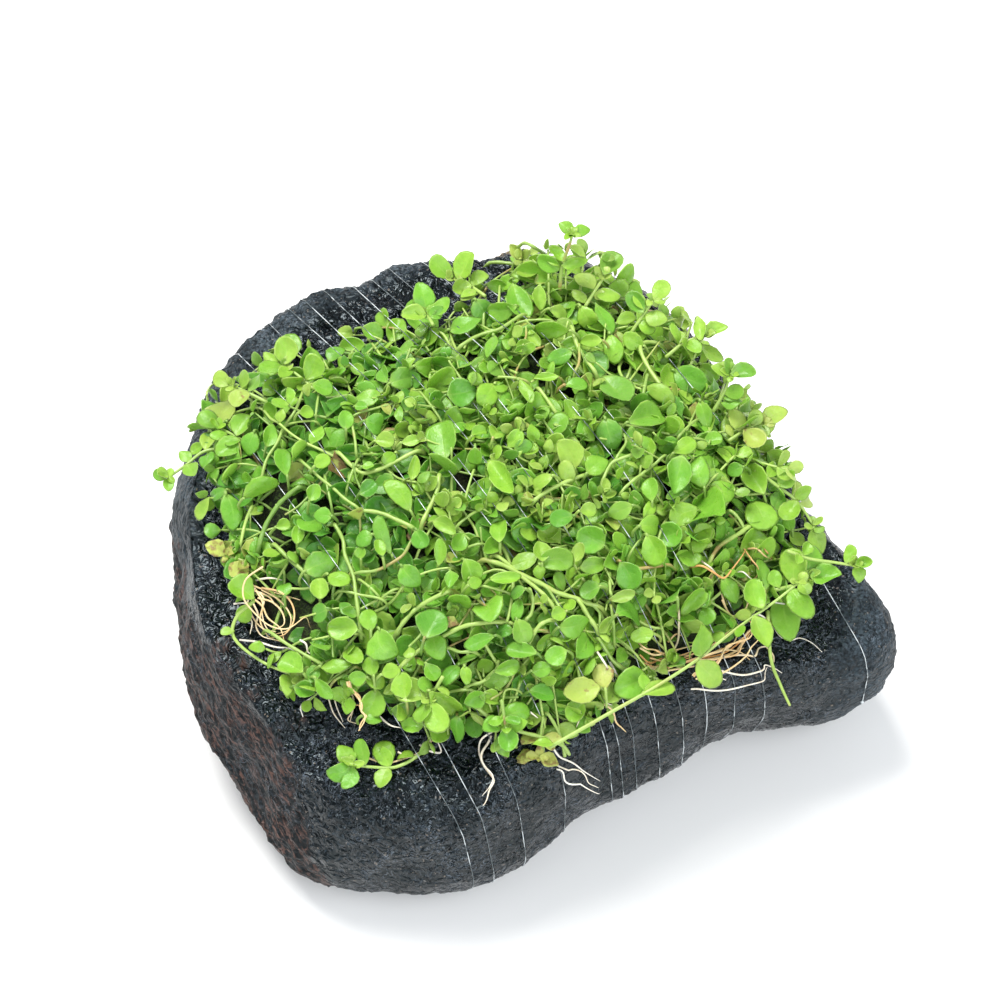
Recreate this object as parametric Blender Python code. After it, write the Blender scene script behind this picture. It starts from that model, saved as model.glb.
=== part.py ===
"""Pearl grass tied to a loose piece of lava rock, resting on a level surface.

The rock is a loft around hand-set stations. The plants are a cushion of stems and leaves on its top, with
single shoots, runners and roots around it. One nylon line is wound round the rock and the cushion.
"""
import math

import bmesh
import bpy
import numpy as np
from mathutils import Matrix, Vector, geometry, noise
from mathutils.bvhtree import BVHTree

# Units and clearances
MM = 0.001
GAP = 0.3
SEED = 7

# Rock: one row for each station round its middle, in degrees and millimetres
# angle, widest radius and its height, rim radius and height, foot radius, shoulder power, underside power
ROCK_STATIONS = (
    (0, 55.5, 20, 50, 33.5, 46, 2.4, 2.0),
    (14, 48.5, 22, 44, 34.5, 40, 2.6, 2.0),
    (32, 47.5, 22, 43, 35, 39, 2.6, 2.0),
    (50, 51, 23, 46, 35.5, 42, 2.6, 2.0),
    (70, 57, 23, 51, 35.5, 47, 2.4, 2.0),
    (90, 62, 24, 56, 35, 50, 2.4, 2.0),
    (103, 61, 24, 56, 35, 50, 2.4, 2.0),
    (118, 62.5, 24, 57, 35, 51, 2.4, 2.0),
    (133, 64.5, 24, 60, 35, 53, 2.4, 2.0),
    (148, 66.5, 23, 62, 35, 55, 2.2, 2.0),
    (162, 65, 22, 61, 35, 54, 1.8, 1.8),
    (176, 64, 20, 59.5, 35, 53, 1.3, 1.8),
    (190, 64, 18, 59.5, 34.5, 52, 1.2, 1.8),
    (204, 64.5, 16, 59, 34, 52, 1.1, 1.8),
    (217, 65, 13, 58, 33.5, 51, 1.1, 1.8),
    (228, 66.5, 10, 59, 30, 52, 1.2, 1.8),
    (238, 67, 8, 53, 31, 53, 2.0, 1.8),
    (250, 62.5, 8, 47, 32, 50, 2.3, 1.8),
    (262, 57.5, 9, 44, 32.5, 46, 2.4, 1.8),
    (275, 49, 10, 38, 33, 40, 2.5, 1.8),
    (290, 44.5, 11, 36, 33.5, 36, 2.6, 1.8),
    (306, 43.5, 12, 37, 34, 35, 2.8, 1.6),
    (320, 47.5, 14, 42, 33.5, 38, 2.8, 1.6),
    (332, 58, 14, 51, 32, 46, 2.6, 1.6),
    (341, 67, 14, 58, 31, 51, 2.4, 1.8),
    (350, 64, 17, 57, 32, 51, 2.4, 2.0),
)
ROCK_TOP = 37.0
ROCK_FLOOR = 1.2
ROCK_COLUMNS = 56
TOP_RINGS = (0.45, 0.8, 0.94)
SHOULDER_STEPS = 4
UNDER_STEPS = 3
BASE_RINGS = (0.6,)

# Lumps of the rock: size and height of each layer of unevenness
ROCK_LUMPS = ((21.0, 1.3), (8.0, 0.7))
# Ledges, pits and knobs: place, reach and depth, where a negative depth stands proud
ROCK_DENTS = (
    ((14, -36, 20), 6.5, 2.2),
    ((46, -22, 30), 6.0, 2.4),
    ((55, -22, 22), 5.0, 1.6),
    ((-52, -42, 20), 6.0, 1.8),
    ((-46, -52, 12), 5.0, -1.5),
    ((-9, 61, 34), 4.5, 2.4),
    ((-22, 56, 35), 5.0, -1.2),
    ((-33, 55, 33), 4.0, 1.8),
    ((62, -20, 24), 7.0, -1.2),
    ((-62, -4, 26), 6.0, 1.4),
)
# Feet that the rock stands on: across and along the winding, with half length and half width
ROCK_FEET = (
    ((-31.0, -40.0), 8.0, 2.6),
    ((22.0, -39.0), 8.5, 2.6),
    ((-24.0, 27.0), 8.0, 2.2),
    ((25.5, 30.0), 8.0, 3.0),
)
FOOT_HEIGHT = 5.0
FOOT_SIDES = 12
FOOT_SPREAD = 1.35

# Winding: its turns run across the rock at this heading
WINDING_HEADING = math.radians(-57.5)
WINDING_SPAN = 60.0
# Offset of each turn at the back and at the front
WINDING_TURNS = (
    (-43.7, -38.5), (-36.0, -35.5), (-25.0, -29.6), (-17.0, -20.4), (-12.5, -9.8), (-9.4, -7.8),
    (-5.0, -5.2), (0.2, -0.7), (4.0, 4.0), (7.7, 8.8), (14.0, 14.0), (18.4, 19.1), (28.5, 29.6),
    (36.0, 37.0),
)
LINE_RADIUS = 0.13
LINE_EASE = 0.4
LINE_MARGIN_SIDES = 8
KNOT_RADIUS = 0.34
KNOT_LENGTH = 0.9
KNOT_HEIGHT = 12.0

# Cushion of plants: outline round the rock's middle, in degrees and millimetres
MAT_OUTLINE = (
    (0, 46), (20, 43.5), (35, 42), (50, 44), (65, 46), (80, 49), (91, 49), (102, 45), (122, 41),
    (137, 46), (150, 53), (168, 56), (185, 53), (200, 50.5), (215, 50.5), (230, 45), (248, 43),
    (265, 40.5), (278, 40.5), (292, 37.5), (310, 37), (325, 39.5), (342, 44.5),
)
MAT_HEIGHT = 13.5
MAT_EDGE = 2.4
MAT_LUMPS = ((17.0, 1.6), (7.0, 0.9))
MAT_COLUMNS = 32
MAT_RINGS = (0.28, 0.52, 0.72, 0.88, 1.0)
MAT_FLOOR_RINGS = (0.35, 0.7)
MAT_BED = 0.4
BED_REACH = (-4.5, 0.0, 4.5)

# Leaves of the cushion
MAT_LEAVES = 76
LEAF_LENGTH = 7.0
LEAF_WIDTH = 0.8
LEAF_THICKNESS = 0.9
LEAF_SINK = 0.6
# Half outline of a leaf: parts of its length and of its half width
LEAF_OUTLINE = ((-0.08, 0.12), (0.42, 1.0), (0.95, 0.5))

# Shoots and runners that stand clear of the cushion. The route of each stem is in millimetres from the
# rock's middle. Each leaf is the part of the stem where it grows, its turn from the stem's heading and its
# rise in degrees, and its length.
STEM_RADIUS = 0.5
SHOOTS = {
    "shoot_far_left": (
        ((-52.5, 11.8, 43), (-56.9, 11.4, 43), (-60.0, 9.0, 42.5), (-63.2, 6.6, 42)),
        ((0.3, 70, 30, 4.6), (0.35, -100, 5, 4.8), (0.7, 85, 20, 4.2), (1.0, 60, 15, 3.0), (1.0, -60, -10, 3.2)),
    ),
    "shoot_torn_left": (
        ((-44.5, -13.6, 42), (-48.1, -11.6, 42), (-52.0, -9.8, 41.5)),
        ((0.5, 60, 20, 5.0), (0.55, -75, 10, 4.6), (1.0, 0, 12, 4.6)),
    ),
    "runner_left_loop": (
        ((-47.0, -19.6, 43), (-50.0, -22.0, 41.5), (-50.4, -25.0, 39.5), (-45.6, -29.2, 39), (-39, -32.6, 39.5)),
        ((0.0, 60, 30, 5.6), (0.9, -60, 15, 4.6), (1.0, 60, 10, 4.6), (1.0, -10, 12, 5.0)),
    ),
    "runner_front_left": (
        ((-16.4, -41.3, 41), (-18.7, -44.2, 39.5), (-22.6, -46.2, 38.8), (-26.5, -46.2, 38.8), (-29.9, -45.9, 39)),
        (
            (0.62, 75, 5, 4.6), (0.6, -70, 20, 5.4), (0.86, -70, 20, 5.0), (1.0, -50, 20, 4.6),
            (1.0, 35, 12, 5.2), (1.0, 75, -8, 4.6),
        ),
    ),
    "shoot_front_pale": (
        ((-14.5, -35.5, 45), (-16.8, -38.2, 42)),
        ((1.0, -65, 5, 6.2), (1.0, 60, 2, 6.4), (0.95, 10, -12, 5.0)),
    ),
    "shoot_front_yellow": (
        ((2.7, -39.9, 43), (2.0, -43.0, 40.5), (1.7, -45.4, 39)),
        ((1.0, -80, -5, 4.4), (1.0, 75, 5, 4.0), (0.5, 80, 25, 4.4)),
    ),
    "shoot_front_small": (
        ((-4.6, -38.8, 43), (-4.0, -42.4, 40)),
        ((1.0, 0, -15, 4.6), (0.9, 80, 15, 4.2), (0.9, -85, 15, 4.0)),
    ),
    "runner_front_right": (
        (
            (3.5, -45.6, 39.5), (12.9, -40.4, 41), (20.7, -36.0, 42), (28.1, -31.0, 42.5), (34.6, -25.6, 43),
            (41.8, -20.2, 43.5), (46.2, -16.6, 44),
        ),
        (
            (0.56, -80, -20, 6.6), (0.58, 60, 50, 6.4), (0.34, -10, 10, 6.2), (0.02, 150, 20, 4.2),
            (0.8, -95, -5, 6.0), (0.85, 70, 25, 5.6),
        ),
    ),
    "shoot_right_low": (
        ((42.5, -16.5, 47), (46.0, -15.2, 46.5), (48.6, -13.6, 46)),
        ((0.4, -80, 0, 7.0), (0.5, 70, 25, 6.4), (1.0, -35, 8, 5.6), (1.0, 45, 20, 6.0)),
    ),
    "stem_right_bare": (
        ((41.4, -18.2, 42.5), (41.8, -26.0, 40), (43.3, -30.6, 39), (44.9, -34.2, 38)),
        (),
    ),
    "shoot_right_thin": (
        ((44.6, -10.6, 48), (48.6, -11.6, 47), (52.6, -11.7, 46), (56.4, -11.8, 45)),
        ((0.86, 70, 20, 3.8), (1.0, 15, 12, 3.4), (1.0, -70, -15, 3.2)),
    ),
    "shoot_right_edge": (
        ((39.5, 4.6, 52), (43.6, 1.6, 51), (46.8, -0.4, 49.5), (49.6, -4.0, 47.5)),
        ((0.35, 75, 35, 4.4), (0.6, 60, 25, 3.6), (0.65, -75, 10, 4.6), (1.0, -20, -20, 5.2)),
    ),
    "shoot_right_upper": (
        ((35.0, 10.0, 52.5), (38.6, 12.6, 52.5), (41.0, 14.0, 52)),
        ((0.4, 80, 30, 5.4), (0.45, -80, 10, 5.2), (1.0, 0, 10, 5.6)),
    ),
    "shoot_right_three_leaf": (
        ((32.4, 15.4, 52), (34.2, 17.4, 55), (35.2, 19.4, 57.5)),
        ((1.0, 100, 25, 3.8), (1.0, -70, 10, 5.2), (0.97, 20, 45, 3.6), (0.3, -60, 20, 4.4)),
    ),
    "shoot_back_right_yellow": (
        ((24.6, 28.4, 51), (28.0, 30.6, 52.5), (31.4, 31.6, 53)),
        ((0.45, 80, 30, 4.4), (0.5, -75, 15, 4.6), (1.0, 0, 15, 4.8)),
    ),
    "shoot_back_right_upright": (
        ((18.4, 33.0, 51), (20.6, 35.6, 53), (22.4, 37.6, 54.5)),
        ((0.6, 80, 20, 4.8), (0.6, -70, 15, 4.6), (1.0, 0, 30, 4.6)),
    ),
    "shoot_back_broad": (
        ((10.4, 38.6, 52), (12.4, 42.0, 52.5), (13.8, 44.8, 52)),
        ((0.5, 75, 15, 5.2), (0.5, -80, 20, 5.4), (1.0, 0, 12, 5.4)),
    ),
    "shoot_back_tall": (
        ((5.8, 41.5, 51), (6.2, 43.9, 55), (7.4, 45.8, 58.5), (8.0, 47.4, 60)),
        ((0.35, 75, 10, 5.4), (0.4, -85, 20, 5.2), (1.0, 70, 10, 3.2), (1.0, -50, -5, 3.6), (1.0, 170, 30, 3.0)),
    ),
    "shoot_back_long": (
        ((5.0, 44.6, 50), (1.4, 48.0, 49.5), (-0.8, 50.6, 49)),
        ((0.5, 70, 25, 4.4), (0.5, -80, 10, 4.6), (1.0, 0, 15, 3.6)),
    ),
    "shoot_back_middle": (
        ((-7.6, 41.0, 46), (-10.4, 44.6, 44), (-13.4, 46.4, 43.5)),
        ((0.5, -80, 10, 4.6), (0.9, -95, 30, 6.0), (1.0, -10, 25, 5.6), (0.55, 80, 15, 4.4)),
    ),
    "shoot_back_single": (
        ((-16.8, 33.4, 48), (-18.0, 36.8, 46.5)),
        ((1.0, -5, 20, 6.0), (0.9, 80, 15, 5.0), (0.9, -80, 15, 5.0)),
    ),
    "shoot_back_left_clump": (
        ((-37.6, 21.6, 49), (-40.6, 24.6, 49), (-43.0, 27.0, 48.5)),
        ((0.35, 75, 30, 5.2), (0.35, -70, 30, 5.6), (1.0, 70, 20, 5.4), (1.0, -40, 22, 5.8), (1.0, 15, 10, 5.0)),
    ),
    "shoot_left_upper": (
        ((-46.0, 18.6, 47), (-49.6, 21.0, 46.5), (-52.4, 23.0, 45.5)),
        ((0.45, 75, 15, 4.6), (0.5, -80, 15, 4.2), (1.0, 0, 10, 4.2)),
    ),
    "shoot_left_middle": (
        ((-47.6, 9.6, 47), (-51.6, 13.0, 46), (-54.6, 15.4, 45)),
        ((0.4, 75, 10, 5.4), (0.5, -75, 15, 5.2), (1.0, 0, 5, 5.0)),
    ),
}

# Roots that hang out of the cushion, as routes in millimetres
ROOT_RADIUS = 0.28
ROOTS = {
    "roots_left_loop": (
        (-45.4, -16.8, 43), (-48.0, -18.6, 42), (-48.4, -22.0, 40), (-45.2, -25.4, 39.4), (-41.2, -26.6, 39.4),
        (-38.2, -24.8, 40),
    ),
    "roots_right_upper": (
        (28.6, -32.2, 42), (34.0, -28.6, 41.5), (38.6, -24.9, 42), (40.4, -21.6, 43),
    ),
    "roots_right_lower": (
        (27.8, -33.0, 41), (32.2, -32.6, 40), (36.6, -32.2, 39.5), (40.0, -30.6, 39.5), (41.2, -28.2, 40),
    ),
    "root_front_white": (
        (-6.4, -41.2, 41), (-8.0, -44.4, 39), (-6.2, -48.0, 38.4), (-6.6, -50.6, 38), (-7.9, -52.4, 37),
    ),
    "root_front_right": (
        (4.8, -46.8, 39.5), (7.0, -48.2, 38.5), (9.4, -48.9, 38), (11.8, -50.2, 37.4),
    ),
    "root_front_orange": (
        (-30.6, -34.0, 41.5), (-28.6, -37.0, 40), (-27.6, -39.4, 39.4), (-28.4, -42.0, 39),
    ),
}

# Settling of the loose shoots and roots
SETTLE_DEPTH = 6.0
SETTLE_STEP = 0.2
SETTLE_TRIES = 80
SETTLE_GAP = 0.32

# The frame's origin is under the middle of the whole object's box
FRAME_SHIFT = (1.0, -1.6, 0.0)

# Colours, roughness and opacity of each kind of piece
FINISHES = {
    "wet_lava_rock": ((0.035, 0.039, 0.045), 0.32, 1.0),
    "pearl_grass_leaf": ((0.16, 0.42, 0.035), 0.38, 1.0),
    "young_pearl_grass_leaf": ((0.26, 0.52, 0.05), 0.38, 1.0),
    "clear_nylon": ((0.85, 0.88, 0.9), 0.12, 0.45),
    "pale_root": ((0.62, 0.46, 0.24), 0.5, 1.0),
}
SHARP_ANGLE = math.radians(38)


def spread(rows, angle):
    """Row of values at an angle, eased through the hand-set rows around the circle."""
    table = np.array(rows, float)
    turns = np.concatenate([table[-2:, 0] - 360, table[:, 0], table[:2, 0] + 360])
    values = np.concatenate([table[-2:, 1:], table[:, 1:], table[:2, 1:]])
    angle = angle % 360.0
    i = int(np.searchsorted(turns, angle, side="right")) - 1
    step = turns[i + 1] - turns[i]
    t = (angle - turns[i]) / step
    slope_in = (values[i + 1] - values[i - 1]) / (turns[i + 1] - turns[i - 1]) * step
    slope_out = (values[i + 2] - values[i]) / (turns[i + 2] - turns[i]) * step
    return (
        (2 * t**3 - 3 * t**2 + 1) * values[i]
        + (t**3 - 2 * t**2 + t) * slope_in
        + (3 * t**2 - 2 * t**3) * values[i + 1]
        + (t**3 - t**2) * slope_out
    )


def rock_profile(angle):
    """Distances and heights of the rock's skin at one angle, from near the top's middle to the base's."""
    belly, belly_z, rim, rim_z, foot, shoulder, under = spread(ROCK_STATIONS, angle)
    points = []
    for part in TOP_RINGS:
        points.append((rim * part, ROCK_TOP + (rim_z - ROCK_TOP) * part**2))
    for step in range(SHOULDER_STEPS):
        turn = math.radians(90.0 * step / SHOULDER_STEPS)
        out = math.sin(turn) ** (2.0 / shoulder)
        up = math.cos(turn) ** (2.0 / shoulder)
        points.append((rim + (belly - rim) * out, belly_z + (rim_z - belly_z) * up))
    for step in range(UNDER_STEPS + 1):
        turn = math.radians(90.0 * step / UNDER_STEPS)
        out = max(math.cos(turn), 0.0) ** (2.0 / under)
        down = math.sin(turn) ** (2.0 / under)
        points.append((foot + (belly - foot) * out, belly_z + (ROCK_FLOOR - belly_z) * down))
    for part in BASE_RINGS:
        points.append((foot * part, ROCK_FLOOR))
    return points


def rock_relief(place):
    """How far the rock's skin stands out at a place, in millimetres."""
    height = 0.0
    for size, amount in ROCK_LUMPS:
        height += amount * noise.noise(place / size)
    for centre, reach, depth in ROCK_DENTS:
        distance = (place - Vector(centre)).length / reach
        height -= depth * math.exp(-distance * distance)
    return height


def closed_rings(name, rings, top, bottom):
    """Mesh of rings of equal length, closed by a point at the top and one at the bottom."""
    mesh_maker = bmesh.new()
    rows = [[mesh_maker.verts.new(point) for point in ring] for ring in rings]
    head = mesh_maker.verts.new(top)
    tail = mesh_maker.verts.new(bottom)
    count = len(rows[0])
    for i in range(count):
        j = (i + 1) % count
        mesh_maker.faces.new((head, rows[0][i], rows[0][j]))
        mesh_maker.faces.new((tail, rows[-1][j], rows[-1][i]))
        for upper, lower in zip(rows, rows[1:]):
            mesh_maker.faces.new((upper[i], lower[i], lower[j], upper[j]))
    bmesh.ops.recalc_face_normals(mesh_maker, faces=mesh_maker.faces)
    mesh = bpy.data.meshes.new(name)
    mesh_maker.to_mesh(mesh)
    mesh_maker.free()
    return mesh


def new_object(name, mesh, collection):
    """Object of a mesh, in a collection."""
    piece = bpy.data.objects.new(name, mesh)
    collection.objects.link(piece)
    return piece


def tree_of(mesh, grow=0.0):
    """Search tree of a mesh, grown outwards by a margin."""
    solid = bmesh.new()
    solid.from_mesh(mesh)
    bmesh.ops.triangulate(solid, faces=solid.faces)
    if grow:
        solid.normal_update()
        for vertex, normal in [(v, v.normal.copy()) for v in solid.verts]:
            vertex.co += normal * grow
    tree = BVHTree.FromBMesh(solid)
    solid.free()
    return tree


def boolean(piece, cutter, operation, self_crossing=False):
    """Carry out a Boolean operation and keep its result as the piece's mesh."""
    modifier = piece.modifiers.new("join", "BOOLEAN")
    modifier.operation = operation
    modifier.solver = "EXACT"
    modifier.use_self = self_crossing
    modifier.object = cutter
    bpy.context.view_layer.update()
    mesh = bpy.data.meshes.new_from_object(piece.evaluated_get(bpy.context.evaluated_depsgraph_get()))
    mesh.name = piece.name
    piece.modifiers.clear()
    piece.data = mesh
    bpy.data.objects.remove(cutter)


def make_rock(collection):
    """The loose rock, with its lumps, ledges and four feet."""
    angles = [360.0 * i / ROCK_COLUMNS for i in range(ROCK_COLUMNS)]
    profiles = [rock_profile(angle) for angle in angles]
    rings = []
    for k in range(len(profiles[0])):
        rings.append([
            Vector((p[k][0] * math.cos(math.radians(a)), p[k][0] * math.sin(math.radians(a)), p[k][1]))
            for a, p in zip(angles, profiles)
        ])
    mesh = closed_rings("lava_rock", rings, Vector((0, 0, ROCK_TOP)), Vector((0, 0, ROCK_FLOOR)))
    shape = bmesh.new()
    shape.from_mesh(mesh)
    shape.normal_update()
    for vertex, normal in [(v, v.normal.copy()) for v in shape.verts]:
        vertex.co += normal * rock_relief(vertex.co)
        vertex.co.z = max(vertex.co.z, ROCK_FLOOR)
    bmesh.ops.triangulate(shape, faces=shape.faces)
    shape.to_mesh(mesh)
    shape.free()
    rock = new_object("lava_rock", mesh, collection)
    for number, ((across, along), half_length, half_width) in enumerate(ROCK_FEET):
        foot = make_foot(number, across, along, half_length, half_width, collection)
        boolean(rock, foot, "UNION")
    return rock


def winding_point(across, along, z=0.0):
    """Place given across and along the winding."""
    run = Vector((math.cos(WINDING_HEADING), math.sin(WINDING_HEADING), 0.0))
    side = Vector((-run.y, run.x, 0.0))
    return run * along + side * across + Vector((0, 0, z))


def make_foot(number, across, along, half_length, half_width, collection):
    """Low rib under the rock, flat below, that runs along the winding."""
    shape = bmesh.new()
    bmesh.ops.create_cone(
        shape, cap_ends=True, segments=FOOT_SIDES, radius1=1.0, radius2=FOOT_SPREAD, depth=FOOT_HEIGHT
    )
    bmesh.ops.scale(shape, vec=(half_length, half_width, 1.0), verts=shape.verts)
    bmesh.ops.rotate(shape, matrix=Matrix.Rotation(WINDING_HEADING, 3, "Z"), verts=shape.verts)
    bmesh.ops.translate(shape, vec=winding_point(across, along, FOOT_HEIGHT / 2), verts=shape.verts)
    mesh = bpy.data.meshes.new(f"foot_{number}")
    shape.to_mesh(mesh)
    shape.free()
    return new_object(f"foot_{number}", mesh, collection)


def mat_radius(angle):
    """Reach of the cushion of plants from the rock's middle."""
    return float(spread(MAT_OUTLINE, angle)[0])


def mat_thickness(place, part):
    """Thickness of the cushion at a place, whose distance is a part of the outline's."""
    height = MAT_EDGE + (MAT_HEIGHT - MAT_EDGE) * (1.0 - part**3.2)
    for size, amount in MAT_LUMPS:
        height += amount * noise.noise(Vector((place.x, place.y, 40.0)) / size) * (1.0 - 0.6 * part)
    return height


def leaf_mesh(maker, root, heading, pitch, roll, length):
    """Add one leaf, a low lens with a pointed root, to a mesh in the making."""
    turn = Matrix.Rotation(heading, 3, "Z") @ Matrix.Rotation(-pitch, 3, "Y") @ Matrix.Rotation(roll, 3, "X")
    half = length * LEAF_WIDTH / 2
    points = list(LEAF_OUTLINE) + [(x, -y) for x, y in reversed(LEAF_OUTLINE)]
    rim = [maker.verts.new(root + turn @ Vector((x * length, y * half, 0.0))) for x, y in points]
    thick = LEAF_THICKNESS / 2
    above = maker.verts.new(root + turn @ Vector((0.5 * length, 0.0, thick)))
    below = maker.verts.new(root + turn @ Vector((0.5 * length, 0.0, -thick)))
    for a, b in zip(rim, rim[1:] + rim[:1]):
        maker.faces.new((above, b, a))
        maker.faces.new((below, a, b))


def make_mat(collection, rock_tree):
    """The cushion of stems and leaves on the rock's top."""
    angles = [360.0 * i / MAT_COLUMNS for i in range(MAT_COLUMNS)]

    def bed(place):
        around = [Vector((place.x + dx, place.y + dy, 90.0)) for dx in BED_REACH for dy in BED_REACH]
        levels = [rock_tree.ray_cast(point, Vector((0, 0, -1)))[0] for point in around]
        return max(level.z for level in levels if level is not None) + MAT_BED

    def surface(angle, part):
        flat = Vector((math.cos(math.radians(angle)), math.sin(math.radians(angle)), 0.0))
        flat *= mat_radius(angle) * part
        return Vector((flat.x, flat.y, bed(flat) + mat_thickness(flat, part)))

    rings = [[surface(angle, part) for angle in angles] for part in MAT_RINGS]
    below = []
    for part in reversed(MAT_FLOOR_RINGS + (1.0,)):
        ring = []
        for angle in angles:
            point = surface(angle, part)
            ring.append(Vector((point.x, point.y, bed(point))))
        below.append(ring)
    top = surface(0.0, 0.0)
    mesh = closed_rings("pearl_grass_mat", rings + below, top, Vector((0, 0, bed(top))))
    mat = new_object("pearl_grass_mat", mesh, collection)
    maker = bmesh.new()
    rng = np.random.default_rng(SEED)
    for number in range(MAT_LEAVES):
        part = 0.97 * math.sqrt((number + 0.5) / MAT_LEAVES)
        angle = math.degrees(number * math.pi * (3.0 - math.sqrt(5.0)))
        root = surface(angle, part) - Vector((0, 0, LEAF_SINK))
        outward = math.radians(angle) + rng.uniform(-1.6, 1.6)
        pitch = math.radians(rng.uniform(18, 40)) - 0.3 * part**4
        roll = math.radians(rng.uniform(-22, 22))
        leaf_mesh(maker, root, outward, pitch, roll, LEAF_LENGTH * rng.uniform(0.8, 1.15))
    bmesh.ops.recalc_face_normals(maker, faces=maker.faces)
    leaves_mesh = bpy.data.meshes.new("mat_leaves")
    maker.to_mesh(leaves_mesh)
    maker.free()
    leaves = new_object("mat_leaves", leaves_mesh, collection)
    boolean(mat, leaves, "UNION", self_crossing=True)
    return mat


def section(mesh, start, run):
    """Points where an upright plane cuts a mesh, as distance along the plane and height."""
    solid = bmesh.new()
    solid.from_mesh(mesh)
    normal = Vector((-run.y, run.x, 0.0))
    cut = bmesh.ops.bisect_plane(
        solid, geom=solid.verts[:] + solid.edges[:] + solid.faces[:], plane_co=start, plane_no=normal
    )
    points = [(element.co - start) for element in cut["geom_cut"] if isinstance(element, bmesh.types.BMVert)]
    points = [(point.dot(run), point.z) for point in points]
    solid.free()
    return points


def simplified(points, tolerance):
    """Open outline with the points left out that lie within a tolerance of the rest."""
    first = Vector(points[0])
    last = Vector(points[-1])
    chord = (last - first).normalized()
    away = [abs((Vector(p) - first).cross(chord)) for p in points]
    far = int(np.argmax(away))
    if away[far] <= tolerance or len(points) < 3:
        return [points[0], points[-1]]
    return simplified(points[: far + 1], tolerance)[:-1] + simplified(points[far:], tolerance)


def winding_route(meshes):
    """Route of the line: each turn lies tight over the rock and the cushion."""
    route = []
    margin = GAP + LINE_RADIUS + LINE_EASE / 2
    ring = [
        (margin * math.cos(math.tau * i / LINE_MARGIN_SIDES), margin * math.sin(math.tau * i / LINE_MARGIN_SIDES))
        for i in range(LINE_MARGIN_SIDES)
    ]
    for back, front in WINDING_TURNS:
        start = winding_point(back, -WINDING_SPAN)
        run = (winding_point(front, WINDING_SPAN) - start).normalized()
        points = [p for mesh in meshes for p in section(mesh, start, run)]
        around = [Vector((x + dx, z + dz)) for x, z in points for dx, dz in ring]
        hull = [around[i] for i in geometry.convex_hull_2d(around)]
        floor = min(p.y for p in hull) + 0.02
        low = [i for i, p in enumerate(hull) if p.y <= floor]
        begin = min(low, key=lambda i: hull[i].x)
        turn = hull[begin:] + hull[:begin]
        if turn[1].y < floor:
            turn = [turn[0]] + turn[:0:-1]
        end = max((i for i, p in enumerate(turn) if p.y <= floor), key=lambda i: turn[i].x)
        turn = simplified(turn[: end + 1], LINE_EASE)
        route.append([start + run * p.x + Vector((0, 0, p.y)) for p in turn])
    return route


def knotted_end(route):
    """Route whose first stretch swells to a small knot, with the radius at each point."""
    way = (route[1] - route[0]).normalized()
    knot = [route[0] + way * (KNOT_LENGTH * part) for part in (0.0, 0.33, 0.67, 1.0)]
    radii = [LINE_RADIUS, KNOT_RADIUS, KNOT_RADIUS, LINE_RADIUS]
    return knot + route[1:], radii + [LINE_RADIUS] * (len(route) - 1)


def make_line(collection, meshes):
    """The nylon line, one length wound round the rock and the cushion and knotted at both ends."""
    turns = winding_route(meshes)
    turns[0] = [point for i, point in enumerate(turns[0]) if point.z > KNOT_HEIGHT or i > len(turns[0]) / 2]
    turns[-1] = [point for i, point in enumerate(turns[-1]) if point.z > KNOT_HEIGHT or i < len(turns[-1]) / 2]
    route = [point for turn in turns for point in turn]
    route, _ = knotted_end(route)
    route, radii = knotted_end(route[::-1])
    radii[-4:] = radii[:4]
    return tube("nylon_line", route, radii, 0, collection)


def tube(name, points, radii, resolution, collection):
    """Round solid along a route, made as a bevelled curve with filled ends."""
    curve = bpy.data.curves.new(name, "CURVE")
    curve.dimensions = "3D"
    curve.bevel_depth = 1.0
    curve.bevel_resolution = resolution
    curve.use_fill_caps = True
    spline = curve.splines.new("POLY")
    spline.points.add(len(points) - 1)
    for place, point, radius in zip(spline.points, points, radii):
        place.co = (point.x, point.y, point.z, 1.0)
        place.radius = radius
    guide = new_object(name + "_route", curve, collection)
    bpy.context.view_layer.update()
    mesh = bpy.data.meshes.new_from_object(guide.evaluated_get(bpy.context.evaluated_depsgraph_get()))
    mesh.name = name
    bpy.data.objects.remove(guide)
    weld = bmesh.new()
    weld.from_mesh(mesh)
    bmesh.ops.remove_doubles(weld, verts=weld.verts, dist=0.0001)
    bmesh.ops.recalc_face_normals(weld, faces=weld.faces)
    weld.to_mesh(mesh)
    weld.free()
    return new_object(name, mesh, collection)


def along(points, part):
    """Place and heading at a part of a route's length."""
    steps = [(b - a).length for a, b in zip(points, points[1:])]
    left = part * sum(steps)
    for i, step in enumerate(steps):
        if left <= step + 1e-6:
            way = points[i + 1] - points[i]
            return points[i] + way * (left / step), math.atan2(way.y, way.x)
        left -= step
    way = points[-1] - points[-2]
    return points[-1].copy(), math.atan2(way.y, way.x)


def make_shoot(name, route, leaves, collection):
    """One stem with the leaves that grow on it."""
    points = [Vector(point) for point in route]
    stem = tube(name, points, [STEM_RADIUS] * len(points), 0, collection)
    if not leaves:
        return stem
    maker = bmesh.new()
    for part, turn, rise, length in leaves:
        root, heading = along(points, part)
        leaf_mesh(maker, root, heading + math.radians(turn), math.radians(rise), 0.0, length)
    bmesh.ops.recalc_face_normals(maker, faces=maker.faces)
    mesh = bpy.data.meshes.new(name + "_leaves")
    maker.to_mesh(mesh)
    maker.free()
    boolean(stem, new_object(name + "_leaves", mesh, collection), "UNION", self_crossing=True)
    return stem


def stands_clear(piece, solids, others):
    """Whether a piece keeps its gap to everything and lies inside none of the solids."""
    grown = tree_of(piece.data, SETTLE_GAP)
    if any(grown.overlap(other) for other in solids + others):
        return False
    for solid in solids:
        for vertex in piece.data.vertices:
            above, normal, _, _ = solid.ray_cast(vertex.co, Vector((0, 0, 1)))
            if above is not None and normal.z > 0:
                return False
    return True


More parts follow.
